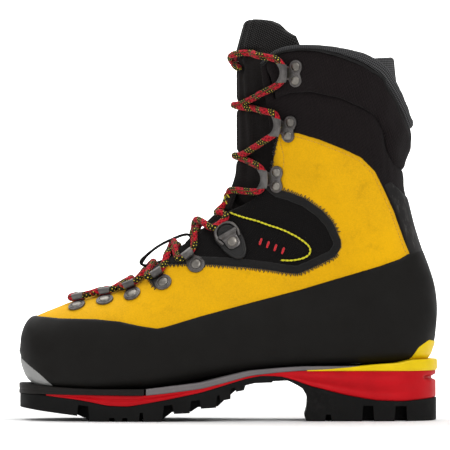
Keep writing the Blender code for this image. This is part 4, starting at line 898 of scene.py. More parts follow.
# side-view outlines (x, z)
FLEX_OUT = [
    (-52, 100), (-50, 115.5), (-46, 116.8), (-24.1, 117.2), (-5.8, 116.4), (12.4, 115),
    (30.7, 112.8), (45.3, 110.6), (51.1, 110.2), (63.5, 115.7), (76.7, 122.3), (80.3, 128),
    (80, 132), (78.8, 134.7), (74.5, 144.2), (67.2, 152.2), (56.2, 160.2), (45.3, 164.6),
    (36.5, 166.8), (29.2, 172.6), (24, 176), (10, 182), (-60, 200), (-80, 150)]
LEATHER_OUT = [
    (-165, 10), (-165, 300), (-62, 300), (-50, 116), *FLEX_OUT[2:16],
    (42, 166.5), (36.5, 168.8), (33, 173.6), (31.5, 182.9), (34, 198.9), (36.8, 210.6),
    *QUARTER_TOP[1:], (134, 122), (140, 118), (165, 116), (165, 10)]
CUFF_OUT = [
    (36.8, 208.5), *((x, z - 1.8) for x, z in QUARTER_TOP[1:]), (132, 124), (180, 120),
    (180, 181), *SEAM[::-1][1:], (34.5, 222)]
HEEL_STRIP_OUT = [
    (113.8, 172.5), (118.5, 163), (122.8, 154), (128.7, 137.5), (132.7, 121.5), (140, 118.5),
    (180, 116), (180, 158), (136, 160), (129.5, 165.5), (124, 171), (118.5, 175.5)]
EYESTAY_OUT = [
    (-10, 184.9), (19, 176), (30.5, 172), (33.6, 176), (32.6, 182.9), (35.2, 198.9), (38.5, 211),
    (38, 222), (33.5, 236), (30, 250), (26.8, 266), (19.7, 259.8), (8.8, 253.4), (-20, 245)]
COLLAR_OUT = [
    (22.8, 259), (25, 262), (30.6, 250), (34.1, 234.8), *((x, z - 1.6) for x, z in SEAM[1:-1]),
    (165, 179.4), (180, 179.4), (180, 218), (180, 320), (0, 320), (22, 262)]

UPPERS = {}
for sign, label in SIDES:
    half = on_side(sign)
    upper = UPPERS[sign] = region(above_feather(3), within(LEATHER_OUT, .1), throat,
                                  free=(half,), score=(.5, 1.2, 2.4))
    groove = .22 * bell(upper.edge, centre=2.9, width=.6)
    panel("leather_upper_" + label, upper, .15 + rounded(upper.edge, radius=1.3, drop=1.1) - groove,
          1.9, LEATHER, "bend")
    flex = region(within(FLEX_OUT, -2.2), throat, free=(half,), score=(.8, 3.2))
    off = .45 + rounded(flex.edge, radius=1.5, drop=1.3) + fuzz(flex, height=.12, pitch=2.1)
    panel("flex_panel_" + label, flex, off, 1.6, FELT, "bend")
    # a rolled band over the edge of the flex panel, from 2.5 outside to 3.4 inside
    binding = region(within(FLEX_OUT, -2.5), lambda sheet: 3.4 - inside(FLEX_OUT, sheet),
                     lambda sheet: throat(sheet) - .2, free=(half,), score=(.9,))
    across = ramp(inside(FLEX_OUT, binding), -2.5, 5.9)
    off = .35 + 1.25 * np.sqrt(np.clip(1 - (2 * across - 1) ** 2, 0, 1))
    panel("flex_binding_" + label, binding, off + fuzz(binding, height=.16, pitch=1.7), 1.2,
          EDGING, "bend", angle=80)

cuff = region(within(CUFF_OUT, .1), score=(.6, 2.0))
seam_dip = 1.9 * bell(below(SEAM, cuff), centre=0, width=4.0) * ramp(cuff.x, 34, 10)
ankle_swell = .35 * bell(cuff.z, centre=214, width=9)
heel_swell = 2.3 * np.clip(cuff.normals[:, 0], 0, 1) ** 2 * bell(cuff.z, centre=188, width=15)
panel("ankle_cuff", cuff, -.35 + rounded(cuff.edge, radius=2.5, drop=.7) + ankle_swell - seam_dip
      + heel_swell, 1.6, CUFF_CLOTH, "bend")
strip = region(within(HEEL_STRIP_OUT, .1), score=(.6, 1.6))
panel("heel_strip", strip, .75 + rounded(strip.edge, radius=1.4, drop=1.0), 1.2, HEEL_STRIP,
      "bend")
for sign, label in SIDES:
    stay = region(within(EYESTAY_OUT, .1), throat, free=(on_side(sign),), score=(.8, 2.0))
    panel("eyestay_" + label, stay, -.1 + rounded(stay.edge, radius=1.8, drop=1.2), 1.6,
          CUFF_CLOTH, "shaft")


# ---------------------------------------------------------------- padded collar
def inflate(sheet, pinned):
    """Blows a cloth sheet out a little with its edges held, and gives each point's rise."""
    mesh = bpy.data.meshes.new("pad")
    mesh.from_pydata((sheet.points * MM).tolist(), [], sheet.faces.tolist())
    ob = add_object("pad", mesh)
    group = ob.vertex_groups.new(name="pin")
    for i, weight in enumerate(pinned):
        if weight > 0:
            group.add([i], float(weight), "REPLACE")
    cloth = ob.modifiers.new("cloth", "CLOTH")
    settings = dict(vertex_group_mass="pin", use_pressure=True, uniform_pressure_force=4.0,
                    quality=4, mass=.3, tension_stiffness=12, compression_stiffness=12,
                    shear_stiffness=4, bending_stiffness=.4)
    for key, value in settings.items():
        setattr(cloth.settings, key, value)
    cloth.settings.effector_weights.gravity = 0
    cloth.collision_settings.use_collision = False
    frames, most = 20, 3.2
    cloth.point_cache.frame_start, cloth.point_cache.frame_end = 1, frames
    scene = bpy.context.scene
    for i in range(1, frames + 1):
        scene.frame_set(i)
    blown = ob.evaluated_get(bpy.context.evaluated_depsgraph_get()).to_mesh()
    out = np.zeros(len(blown.vertices) * 3)
    blown.vertices.foreach_get("co", out)
    out = out.reshape(-1, 3) / MM
    bpy.data.objects.remove(ob, do_unlink=True)
    scene.frame_set(1)
    rise = ((out - sheet.points) * sheet.normals).sum(axis=1)
    return np.clip(np.nan_to_num(rise), -most, most)


def collar():
    """Padded roll above the cuff seam, fuller at the sides than at the back."""
    sheet = region(within(COLLAR_OUT), under(CUFF_TOP, 3.0), score=(1.0, 2.5))
    puff = np.zeros(len(sheet.points))
    puff = inflate(sheet, np.clip(1.6 - sheet.edge / 5.0, 0, 1))
    puff = puff - np.percentile(puff, 50)
    puff = np.clip(puff, -.9, 1.1) * np.clip(sheet.edge / 6, 0, 1)
    wrinkle = (.28 * np.sin(sheet.arc * .33 + 1.2 * np.sin(sheet.run * .11))
               * np.clip(sheet.edge / 9, 0, 1))
    depth = inside(COLLAR_OUT, sheet)
    sideways = 1 - .9 * np.abs(sheet.normals[:, 0]) ** 2
    roll = 4.7 * quarter_round(depth, 5.0) - 1.9 * ramp(depth, 6, 20)
    back = (2.7 + 2.6 * bell(sheet.z, centre=207, width=13)) * np.clip(depth / 4, 0, 1)
    thinner_top = np.clip(.35 + (below(CUFF_TOP, sheet) - 3) / 9, .35, 1)
    off = -2.7 + (roll * sideways + back * (1 - sideways)) * thinner_top + puff * .5 + wrinkle
    panel("collar", sheet, off, 3.4, CUFF_CLOTH, "shaft")


collar()


# ---------------------------------------------------------------- rand and inserts
def end_taper(sheet, amount):
    """1 on the sides, less by the amount where the surface faces forward or back."""
    return 1 - amount * np.abs(sheet.normals[:, 0]) ** 3


RAND_EDGE = [(x, z - 2.1 * math.exp(-(((x + 118) / 38) ** 4))) for x, z in RAND_TOP]
rand = region(under(RAND_EDGE), above_feather(.4), score=(.5, 1.3, 3.0))
# a shallow slanting crease behind the ball of the foot
crease = .35 * bell(rand.x + (rand.z - 45) * .25, centre=-62, width=7) * ramp(rand.z, 66, -30)
panel("rand", rand, .5 + 1.45 * end_taper(rand, .85) * quarter_round(below(RAND_EDGE, rand), 2.4)
      - crease * .6, 1.5, RAND_RUBBER, "foot")
TOE_EDGE = [(-165, 53.5), (-152.5, 47), (-148.5, 44), (-137, 35.4), (-124, 25), (-116, 14)]
toe = region(under(TOE_EDGE), free=(lambda sheet: -112 - sheet.x,), score=(.5, 1.2))
panel("toe_insert", toe, .95 + 1.5 * end_taper(toe, .85) + rounded(toe.edge, radius=1.3, drop=.7),
      1.6, TOE_GREY, "foot")
HEEL_EDGE = [(120, 20), (127, 43), (134, 48.5), (138.6, 54.4), (146.5, 59.4), (152, 58), (165, 57)]
heel = region(under(HEEL_EDGE), free=(lambda sheet: sheet.x - 122,), score=(.5, 1.2))
panel("heel_insert", heel, 1.1 + 1.6 * end_taper(heel, .8)
      + rounded(heel.edge, radius=1.3, drop=.8), 1.7, HEEL_YELLOW, "foot")

lining = region(under(CUFF_TOP, 3.4), throat, free=(lambda sheet: sheet.sec - 5,))
panel("lining", lining, -5.0 + fuzz(lining, height=.1, pitch=.35), 1.7, LINING_KNIT, "bend")

# ---------------------------------------------------------------- sole
# plan outline of the sole: x, y of the left edge, y of the right edge
SOLE_PLAN = [
    (-152.5, 4, 10), (-151, -8, 22), (-146, -21, 32.5), (-138, -31, 40), (-125, -39.5, 46),
    (-105, -47, 50.5), (-85, -51.5, 52.8), (-65, -53.7, 53.7), (-45, -54, 52),
    (-20, -52.5, 46.5), (5, -48, 41.5), (30, -43.5, 38.5), (60, -40.5, 37.8), (90, -39.8, 39),
    (115, -39.5, 39.5), (130, -36.5, 36.5), (142, -29, 29), (149.5, -18, 18), (152.5, -5, 5)]
# side-view lines (x, z): top of the sole, top and bottom of the midsole, band at the heel
SOLE_TOP = [
    (-165, 27.2), (-150, 27.2), (-140, 26.4), (-124.8, 25), (-111, 24.2), (-94.2, 23.7),
    (-60.6, 23.7), (-49.6, 25), (-19.7, 28.5), (1.5, 33.6), (16.1, 37.2), (38, 39.1),
    (55.5, 40.2), (84.7, 40.2), (122.6, 41), (165, 41.6)]
MIDSOLE_TOP = [
    (-165, 19.7), (-128, 19.7), (-60, 19.2), (-48, 20.4), (-19.7, 24), (1.5, 29.3),
    (16.1, 33.4), (38, 35.9), (55.5, 37.2), (75, 37.6), (165, 37.6)]
MIDSOLE_LOW = [
    (-165, 19.5), (-138, 19.4), (-131, 18.4), (-110, 15.8), (-102, 14.4), (-87.6, 11.4),
    (-72.3, 11), (-48.2, 15.3), (-19.7, 21.2), (-2.2, 26.6), (12, 31), (24.1, 33.4),
    (39.4, 32.8), (50, 29.5), (60.6, 25.5), (86.9, 19), (108, 15.3), (128.5, 14.6),
    (152.6, 16.8), (165, 17)]
HEEL_BAND_TOP = [
    (60, 37.6), (72, 38), (90, 39.8), (108, 41.6), (125, 42.6), (135, 45), (165, 45)]
HEEL_BAND_LOW = [(55, 36.6), (75, 36.8), (165, 36.8)]
WALL_DEPTH = 16.0    # how far the sole's layers reach inward


def plan_normals(points):
    """Normals in plan of a closed line."""
    along = np.roll(points, -1, 0) - np.roll(points, 1, 0)
    return unit(np.stack([along[:, 1], -along[:, 0]], 1))


def sole_outline(inset):
    """Plan outline of the sole moved inward, and its outward normals."""
    plan = resample(SOLE_PLAN, 150)
    nose = [[-152.9, 7.0]]
    points = np.vstack([plan[:, [0, 1]], [[153.0, 0.0]], plan[::-1, [0, 2]], nose])
    points = even(np.vstack([points, points[:1]]), 1.6)[:-1]
    points = smooth(points, 8, closed=True)
    out = plan_normals(points)
    if ((points - points.mean(axis=0)) * out).sum() < 0:
        out = -out
    return points - out * inset, out


def wall(name, top, low, ends, material, steps, bulge):
    """Layer of the sole between two side-view lines and two x places; bulge(x, share, z)
    gives how far its side stands out, share running from its top to its bottom."""
    points, out = sole_outline(0)
    count = len(points)
    xs = points[:, 0]
    high = smooth(line_z(top, xs), 6, closed=True)
    base = smooth(line_z(low, xs), 6, closed=True)
    rings = [(-WALL_DEPTH, high)]
    for share in np.linspace(0, 1, steps):
        z = high + (base - high) * share
        rings.append((bulge(xs, share, z), z))
    rings.append((-WALL_DEPTH, base))
    verts = np.concatenate([
        np.column_stack([points + out * np.broadcast_to(off, count)[:, None], z])
        for off, z in rings])
    kept = (xs > ends[0]) & (xs < ends[1])
    faces = [face for face in ring_faces(len(rings), count, closed=True)
             if kept[face[0] % count] and kept[face[1] % count]]
    for j in range(count):
        k = (j + 1) % count
        if kept[j] != kept[k]:
            cap = [i * count + (j if kept[j] else k) for i in range(len(rings))]
            faces.append(cap if kept[k] else cap[::-1])
    used = sorted({i for face in faces for i in face})
    index = {old: new for new, old in enumerate(used)}
    faces = [[index[i] for i in face] for face in faces]
    ob = make(name, verts[used], faces, material, "foot", angle=40)
    face_outward(ob.data)


def lip(share, radius, drop):
    """Rounded top and bottom of a layer's side."""
    return rounded(np.minimum(share, 1 - share), radius, drop)


def welt_side(x, share, z):
    groove = .25 * bell(share, centre=.55, width=.09)
    return .9 + lip(share, radius=.12, drop=.5) * (share < .5) - groove


def band_side(x, share, z):
    ridge = .2 * bell(share, centre=.3, width=.15)
    return .2 + lip(share, radius=.25, drop=.6) + ridge


def midsole_side(x, share, z):
    rear = ramp(x, 40, 30) * ramp(x, 140, -20)
    swell = rear * (1.1 * bell(share, centre=.42, width=.17)
                    - .8 * bell(share, centre=.72, width=.10))
    front = ramp(x, -20, -20) * ramp(x, -125, 20)
    groove = front * (-.7 * bell(share, centre=.45, width=.10)
                      + .3 * bell(share, centre=.68, width=.12))
    # notch across the back of the heel
    notch = 3.2 * bell(z, centre=31.6, width=1.7, power=4) * ramp(x, 143.5, 3)
    return -.2 + lip(share, radius=.08, drop=.8) + swell + groove - notch


def heel_band_side(x, share, z):
    return np.clip((x - 57) / 10, .35, 1) + lip(share, radius=.3, drop=.8)


wall("toe_welt", SOLE_TOP, MIDSOLE_TOP, (-170, -61.2), WELT_RUBBER, 13, welt_side)
wall("midsole_band", SOLE_TOP, MIDSOLE_TOP, (-61, 160), BAND_GREY, 11, band_side)
wall("midsole", MIDSOLE_TOP, MIDSOLE_LOW, (-134, 170), RED, 25, midsole_side)
wall("heel_band", HEEL_BAND_TOP, HEEL_BAND_LOW, (57, 170), HEEL_YELLOW, 11, heel_band_side)

# ---------------------------------------------------------------- tread
# underside in side view, from heel to toe (x, z): the outer lugs, then the inner lugs
OUTER_UNDERSIDE = [
    (160, 1.4), (149, .2), (131, .2), (130.6, 11), (122.6, 11.2), (121.6, .2), (106.9, .2),
    (106.2, 11.4), (98.8, 11.4), (98, .2), (75.8, .2), (75.2, 5), (71.6, 5), (71, .2),
    (57.2, .4), (56, 3.6), (57.6, 9), (58, 15.5), (56.4, 22.8), (48.4, 27.9), (42, 30.4),
    (39.6, 30.6), (33.4, 30.2), (32, 28.4), (19.5, 28), (12.8, 26.4), (11.7, 22.9), (5.9, 21.8),
    (5.2, 25), (2.3, 24.2), (1.8, 16.6), (-5.8, 15), (-6.2, 19.5), (-8, 19), (-8.8, 10.2),
    (-19.8, 9.6), (-20.6, 16), (-27, 15.2), (-28, 6.3), (-39.5, 5.8), (-40.6, 12.6),
    (-46.8, 11.8), (-48, .9), (-61.6, .4), (-62.2, 6.6), (-64.4, 6.6), (-65, .4), (-73.2, .3),
    (-73.6, 2.8), (-77, 2.8), (-77.4, .3), (-82.6, .3), (-83, 2.8), (-86.6, 2.8), (-87, .2),
    (-101, .3), (-102.2, 11.2), (-109.4, 12.2), (-110.4, 4.2), (-135, 7.2), (-160, 10.8)]
INNER_UNDERSIDE = [
    (160, 2.2), (149, .8), (131, .8), (96, .6), (62, .8), (57.5, 4), (58.5, 17), (54, 24.5),
    (44, 29.5), (32, 29), (20, 28.4), (8, 24.6), (-2, 16.2), (-7.5, 10.9), (-22, 10.5),
    (-27, 7.2), (-41, 6.9), (-48, 1.5), (-101, .9), (-110.4, 4.9), (-135, 7.9), (-160, 11.2)]
# lengthwise grooves 6 wide: x from and to, y of each groove's left edge, height
GROOVES = [
    (-100, -66, (-9.5, 21), 7.5), (-62, -47, (-24, 4), 7), (-40, -27, (-18, 14), 9),
    (70, 121, (-12, 6), 7.5)]
# x of the zigzag cuts across the inner lugs
CROSS_CUTS = (-143, -121, -94, -81, -69, -53, -33, -14, 84, 114, 139)


def prism(points, low, high, across=False):
    """Solid of a plan outline between two heights or, across, of a side-view one between
    two y places."""
    count = len(points)
    if across:
        verts = [(x, y, z) for y in (low, high) for x, z in points]
    else:
        verts = [(x, y, z) for z in (low, high) for x, y in points]
    caps = [tuple(range(count))[::-1], tuple(range(count, 2 * count))]
    sides = [(i, (i + 1) % count, (i + 1) % count + count, i + count) for i in range(count)]
    if across:
        caps = [cap[::-1] for cap in caps]
        sides = [quad[:1] + quad[:0:-1] for quad in sides]
    mesh = bpy.data.meshes.new("t")
    mesh.from_pydata([tuple(float(c) * MM for c in vert) for vert in verts], [], caps + sides)
    face_outward(mesh)
    return add_object("t", mesh)


def tread(name, mesh_name, inset, drop, underside, cutters, bevel):
    """Part of the tread: the inset plan, cut to the side view, less the cutters."""
    body = prism([tuple(point) for point in sole_outline(inset)[0][::2]], -4, 70)
    xs = [-160] + [x for x, _ in MIDSOLE_LOW if -160 < x < 160] + [160]
    profile = [(x, float(line_z(MIDSOLE_LOW, x)) - drop) for x in xs] + underside
    tools = [("INTERSECT", prism(profile, -90, 90, across=True))]
    tools += [("DIFFERENCE", prism(*cutter)) for cutter in cutters]
    for operation, tool in tools:
        boolean = body.modifiers.new("b", "BOOLEAN")
        boolean.operation = operation
        boolean.object = tool
        boolean.solver = "EXACT"
    bpy.context.view_layer.update()
    graph = bpy.context.evaluated_depsgraph_get()
    mesh = bpy.data.meshes.new_from_object(body.evaluated_get(graph), depsgraph=graph)
    for ob in [body] + [tool for _, tool in tools]:
        bpy.data.objects.remove(ob, do_unlink=True)
    mesh.name = mesh_name
    mesh.materials.clear()
    mesh.materials.append(TREAD_RUBBER)
    ob = add_object(name, mesh)
    shade(mesh, 28)
    edges = ob.modifiers.new("bevel", "BEVEL")
    edges.width = bevel * MM
    edges.segments = 2
    edges.limit_method = "ANGLE"
    edges.angle_limit = math.radians(40)
    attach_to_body(ob, "foot")
    SLOTS[TREAD_RUBBER.name]


def zigzag(k, x):
    """Cut 4.4 wide across the sole, its bend pointing forward and back in turn."""
    skew = 3.0 * (-1) ** k
    near, far = x - 2.2, x + 2.2
    plan = [(near - skew, -70), (far - skew, -70), (far + skew, 0), (far - skew, 70),
            (near - skew, 70), (near + skew, 0)]
    return plan, -3, 5.5 if x > -110 else 11.5


def groove_cutter(x0, x1, y, height):
    return [(x0, y), (x1, y), (x1, y + 6), (x0, y + 6)], -3, height


TREAD_GAP = .15    # outer lugs stop this far under the midsole, the inner ones .6 lower
tread("outsole_inner_lugs", "outsole_inner_lugs", 11.0, TREAD_GAP + .6, INNER_UNDERSIDE,
      [zigzag(k, x) for k, x in enumerate(CROSS_CUTS)], bevel=.4)
tread("outsole_tread", "outsole", -.2, TREAD_GAP, OUTER_UNDERSIDE,
      [groove_cutter(x0, x1, y, height) for x0, x1, ys, height in GROOVES for y in ys], bevel=.5)

# ---------------------------------------------------------------- seats of the fasteners
HALF = 90    # points from T to B on the finer loft
FINE_PLACES = np.linspace(3, 31, 281)
FINE, FINE_NORMALS, _ = loft(FINE_PLACES, HALF)
FINE_POINTS = FINE.reshape(-1, 3)


def nearest(grids, x, other, axis):
    """Point and normal nearest to x and a second coordinate."""
    points, normals = grids
    gap = np.hypot(points[..., 0] - x, points[..., axis] - other)
    place = np.unravel_index(np.argmin(gap), gap.shape)
    return points[place], normals[place]


def on_surface(x, z, sign):
    columns = np.arange(HALF + 1) * -sign % (2 * HALF)
    return nearest((FINE[:, columns], FINE_NORMALS[:, columns]), x, z, 2)


def on_top(x, y):
    columns = np.r_[:50, 2 * HALF - 49:2 * HALF]
    return nearest((FINE[:, columns], FINE_NORMALS[:, columns]), x, y, 1)


class Seat:
    """Local frame of a fastener: z along the surface normal, y towards the throat."""

    def __init__(self, x, z, dx, dz, sign, lift, y=None):
        point, normal = on_surface(x, z, sign) if y is None else on_top(x, y)
        steep = normal[1]
        if abs(steep) <= .12:
            steep = math.copysign(.12, steep if steep else sign)
        inward = np.array([dx, -(normal[0] * dx + normal[2] * dz) / steep, dz])
        inward = unit(inward - normal * (inward @ normal))
        self.axes = np.stack([np.cross(inward, normal), inward, normal], 1)
        self.origin = point + normal * lift
        across = self.axes[:, 0]
        self.upward = 1 if across[2] + across[0] * .3 > 0 else -1
        # how far the surface falls away 12 towards the throat
        local = (FINE_POINTS - self.origin) @ self.axes
        gap = np.hypot(local[:, 0], local[:, 1] - 12) + (np.abs(local[:, 2]) > 15) * 99
        self.drop = float(local[np.argmin(gap), 2]) + lift

    def __call__(self, points):
        """Places local points on the boot, bent down with the surface."""
        local = np.array(points, float)
        local[:, 2] += self.drop * (np.clip(local[:, 1], 0, 20) / 12) ** 2
        return local @ self.axes.T + self.origin


# ---------------------------------------------------------------- shapes of the fasteners
# rivet head, from its middle outward and down: radius, z
DOME = [(0, 1.15), (1.2, 1.12), (2.2, 1), (2.9, .74), (3.25, .4), (3.4, .05), (3.4, -.9)]
# curled and bent strips: y, z, width
HOOK_CURL = [
    (1, .9, 9), (3, .95, 8.6), (5, 1, 9.4), (6.8, 1, 11), (8.2, 1.2, 12.8), (9.6, 2, 14.2),
    (10.3, 3.4, 14.8), (10.3, 5.2, 15), (9.4, 6.7, 15), (7.6, 7.5, 14.6), (5.8, 7.4, 13.8),
    (4.4, 6.9, 12.8)]
LOOP_TUNNEL = [
    (3, .7, 8.6), (5.2, .6, 6.6), (7.4, .4, 6.8), (9.4, .35, 7.8), (11.6, 1, 9), (12.7, 3, 9.6),
    (12.2, 5, 9.6), (10.2, 6, 9.2), (8.3, 5.4, 8.6), (7.2, 3.8, 8), (7, 2.4, 7.6)]
LOCK_TONGUE = [
    (-5.4, 2.9, 4), (-4.8, 2.95, 7.4), (-3, 3, 9.8), (0, 3.05, 10.6), (2.6, 3.3, 11),
    (4.2, 4.3, 12), (5.2, 5.6, 13.6), (6.2, 6.3, 14.6), (7.3, 6.2, 14.8)]
# wire arch of the lace lock: x, y, z
LOCK_ARCH = [
    (-6.9, 1.4, 2.7), (-7.9, 4.6, 3.2), (-8.1, 8.4, 3.7), (-6.9, 12, 4.1), (-4, 14.6, 4.3),
    (0, 15.6, 4.4), (4, 14.6, 4.3), (6.9, 12, 4.1), (8.1, 8.4, 3.7), (7.9, 4.6, 3.2),
    (6.9, 1.4, 2.7)]
UP = (0, 0, 1.0)
BOW = .062    # how much the free end of a hook bows to the throat at its tips


def rivet(width, lift, height=1.0, at=(0, 0), around=28):
    """Turned rivet head, DOME scaled and lifted."""
    profile = [(radius * width, z * height + lift) for radius, z in DOME]
    angles = np.linspace(0, TAU, around, endpoint=False)
    verts = [(at[0], at[1], profile[0][1])]
    for radius, z in profile[1:]:
        verts += [(at[0] + radius * math.cos(a), at[1] + radius * math.sin(a), z) for a in angles]
    faces = [(0, 1 + j, 1 + (j + 1) % around) for j in range(around)]
    for i in range(len(profile) - 2):
        here, ahead = 1 + i * around, 1 + (i + 1) * around
        for j in range(around):
            k = (j + 1) % around
            faces.append((here + j, ahead + j, ahead + k, here + k))
    last = 1 + (len(profile) - 2) * around
    faces.append(tuple(range(last, last + around))[::-1])
    return verts, faces


# signed distances in plan, negative inside
def circle(x, y, centre_x, centre_y, radius):
    return np.hypot(x - centre_x, y - centre_y) - radius


def box(x, y, centre_y, half_x, half_y, corner):
    over_x = np.maximum(np.abs(x) - half_x + corner, 0)
    over_y = np.maximum(np.abs(y - centre_y) - half_y + corner, 0)
    return np.hypot(over_x, over_y) - corner


def blend(first, second, width):
    """Union of two distances with a soft join."""
    share = np.clip(.5 + .5 * (second - first) / width, 0, 1)
    return second * (1 - share) + first * share - width * share * (1 - share)


def loop_plan(x, y):
    return blend(circle(x, y, 0, 0, 6.4), box(x, y, 4.8, 3.9, 3.6, 1.0), 3.2)


def hook_plan(x, y):
    lobes = blend(circle(x, y, -5.1, 0, 4.9), circle(x, y, 5.1, 0, 4.9), 5.0)
    return blend(lobes, box(x, y, 4.6, 4.4, 4.2, 1.2), 2.4)


def lock_plan(x, y):
    head = blend(circle(x, y, 0, 7.0, 9.9), circle(x, y, 0, -1, 8.8), 3.0)
    return blend(head, circle(x, y, 0, -9.0, 5.6), 5.0)


def cam_plan(x, y):
    return np.maximum(circle(x, y, 0, 7.6, 6.3), 7.3 - y)


def ray_outline(field, centre, count, reach):
    """Line where the field turns positive, found along rays in steps of 0.05."""
    angle = np.linspace(0, TAU, count, endpoint=False)
    ray = np.stack([np.cos(angle), np.sin(angle)], 1)
    radius = np.linspace(0, reach, 20 * reach + 1)
    value = field(centre[0] + ray[:, :1] * radius, centre[1] + ray[:, 1:] * radius)
    return np.array(centre) + ray * radius[np.argmax(value > 0, axis=1)][:, None]


def plate(field, centre, low, high, edge, crown=0.0):
    """Flat plate of a plan shape with a rolled upper edge; crown lifts its middle."""
    count = 96
    points = smooth(ray_outline(field, centre, count, 32), 2, closed=True)
    out = plan_normals(points)
    rings = [(0, low)]
    for angle in np.linspace(0, math.pi / 2, 4):
        rings.append((edge * (1 - math.cos(angle)), high - edge + edge * math.sin(angle)))
    rings += [(edge + .9, high + crown * .6), (edge + 2.0, high + crown)]
    verts = [np.column_stack([points - out * inset, np.full(count, z)]) for inset, z in rings]
    return np.concatenate(verts), ring_faces(len(rings), count)


def ribbon(profile, thick):
    """Bent strip lying across x, with rounded corners."""
    steps, corner = 36, .42
    rows = resample(profile, steps)
    along = unit(np.gradient(rows[:, :2], axis=0))
    normals = np.stack([-along[:, 1], along[:, 0]], 1)
    ring = []
    for k, (side_x, side_n) in enumerate(((1, 1), (-1, 1), (-1, -1), (1, -1))):
        for turn in np.linspace(0, math.pi / 2, 4):
            angle = k * math.pi / 2 + turn
            ring.append((side_x, side_n, corner * math.cos(angle), corner * math.sin(angle)))
    verts = []
    for (y, z, width), normal in zip(rows, normals):
        for side_x, side_n, round_x, round_n in ring:
            off = side_n * (thick / 2 - corner) + round_n
            x = side_x * (width / 2 - corner) + round_x
            verts.append((x, y + normal[0] * off, z + normal[1] * off))
    return verts, ring_faces(steps, len(ring))


def torus(radius, tube, z, at=(0, 0)):
    """Ring lying flat, 40 points round and 10 round its tube."""
    verts = []
    for i in range(40):
        for j in range(10):
            turn, roll = TAU * i / 40, TAU * j / 10
            reach = radius + tube * math.cos(roll)
            verts.append((at[0] + reach * math.cos(turn), at[1] + reach * math.sin(turn),
                          z + tube * math.sin(roll)))
    return verts, ring_faces(40, 10, closed=True)


def curled_band(rows, thick):
    """Rolled band whose free end bows to the throat at its tips."""
    steps, across = 64, 17
    rows = np.array(rows)
    path = resample(rows[:, :2], steps)
    widths = np.interp(np.linspace(0, len(rows) - 1, steps), np.arange(len(rows)), rows[:, 2])
    along = unit(np.gradient(path, axis=0))
    verts = []
    for layer in (1, -1):
        for i in range(steps):
            for share in np.linspace(-1, 1, across):
                x = share * widths[i] / 2
                edge = min((1 - abs(share)) * widths[i] / 2, (steps - 1 - i) * .5)
                round_ = math.sqrt(max(1 - (1 - min(edge / .5, 1)) ** 2, .1))
                off = thick / 2 * round_ * layer
                y, z = path[i, 0] - along[i, 1] * off, path[i, 1] + along[i, 0] * off
                y += BOW * x * x * ramp(y, 3.5, 3) * np.clip(z / 2 + .1, 0, 1)
                verts.append((x, y, z - .012 * x * x * ramp(z, 4, 3)))
    return verts, slab_faces(steps, across, across, steps * across)


# ---------------------------------------------------------------- fasteners
# lace loops, from the toe: x, z, side-view direction to the throat, and for the front two,
# found from above, the distance from y = 1
LOOPS = [(-110.0, 86.5, .34, .94, 20.5), (-90.9, 88.7, .0, 1.0, 24.5),
         (-70.2, 92.1, -.3, .95, None), (-47.6, 101.4, -.6, .8, None),
         (-23.4, 114.4, -.68, .73, None)]
# hooks, from below: x, z of each of two rivets, side-view direction to the throat
HOOKS = [(36.4, 181.3, 34.8, 172.4, -1.0, .05), (47.1, 219.4, 44.1, 208.6, -.97, .24),
         (50.4, 259.3, 49.6, 249.3, -1.0, .06)]
# lace lock: x, z, side-view direction to the throat
LOCK = (3.3, 129.8, -.55, .83)
HOOK_RIVET_X = 5.1
seats = {}


def finish(build, name, material, body, node):
    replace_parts(build.done(name, material, body), node)


def eyelets(sign, label):
    rivets = Build()
    for k, (x, z, dx, dz, reach) in enumerate(LOOPS):
        y = None if reach is None else 1.0 + reach * sign
        seat = seats["loop", k, sign] = Seat(x, z, dx, dz, sign, lift=.35, y=y)
        build = Build()
        build.mount(seat, plate(loop_plan, (0, 1.5), low=0, high=1.3, edge=.45))
        build.mount(seat, torus(radius=4.75, tube=.6, z=1.2))
        build.mount(seat, ribbon(LOOP_TUNNEL, thick=1.15))
        finish(build, f"eyelet_{label}_{k + 1}", METAL, "foot", f"lace_loop_{label}_{k + 1}")
        rivets.mount(seat, rivet(width=1.12, lift=1.25, height=.9))
    finish(rivets, "eyelet_rivets_" + label, RIVET_METAL, "foot", "loop_rivets_" + label)


def speed_hooks(sign, label):
    rivets = Build()
    for k, (x1, z1, x2, z2, dx, dz) in enumerate(HOOKS):
        seat = Seat((x1 + x2) / 2, (z1 + z2) / 2, dx, dz, sign, lift=.6)
        seats["hook", k, sign] = seat
        build = Build()
        build.mount(seat, plate(hook_plan, (0, .8), low=0, high=1.35, edge=.45))
        build.mount(seat, curled_band(HOOK_CURL, thick=1.15))
        # beads across the curl: y, z, half width
        for y, z, half_width in ((4.6, 7.15, 6.1), (9.9, 6.6, 7.2)):
            bow = BOW * min(1, (y - 3.5) / 3)
            bead = [(x, y + bow * x * x, z - .012 * x * x)
                    for x in np.linspace(-half_width, half_width, 21)]
            build.mount(seat, sweep(bead, .52, 8, normals=UP))
        for x in (-HOOK_RIVET_X, HOOK_RIVET_X):
            build.mount(seat, torus(radius=4.0, tube=.45, z=1.3, at=(x, 0)))
            rivets.mount(seat, rivet(width=.98, lift=1.2, at=(x, 0)))
        finish(build, f"speed_hook_{label}_{k + 1}", METAL, "shaft", f"lace_hook_{label}_{k + 1}")
    finish(rivets, "speed_hook_rivets_" + label, RIVET_METAL, "shaft", "hook_rivets_" + label)


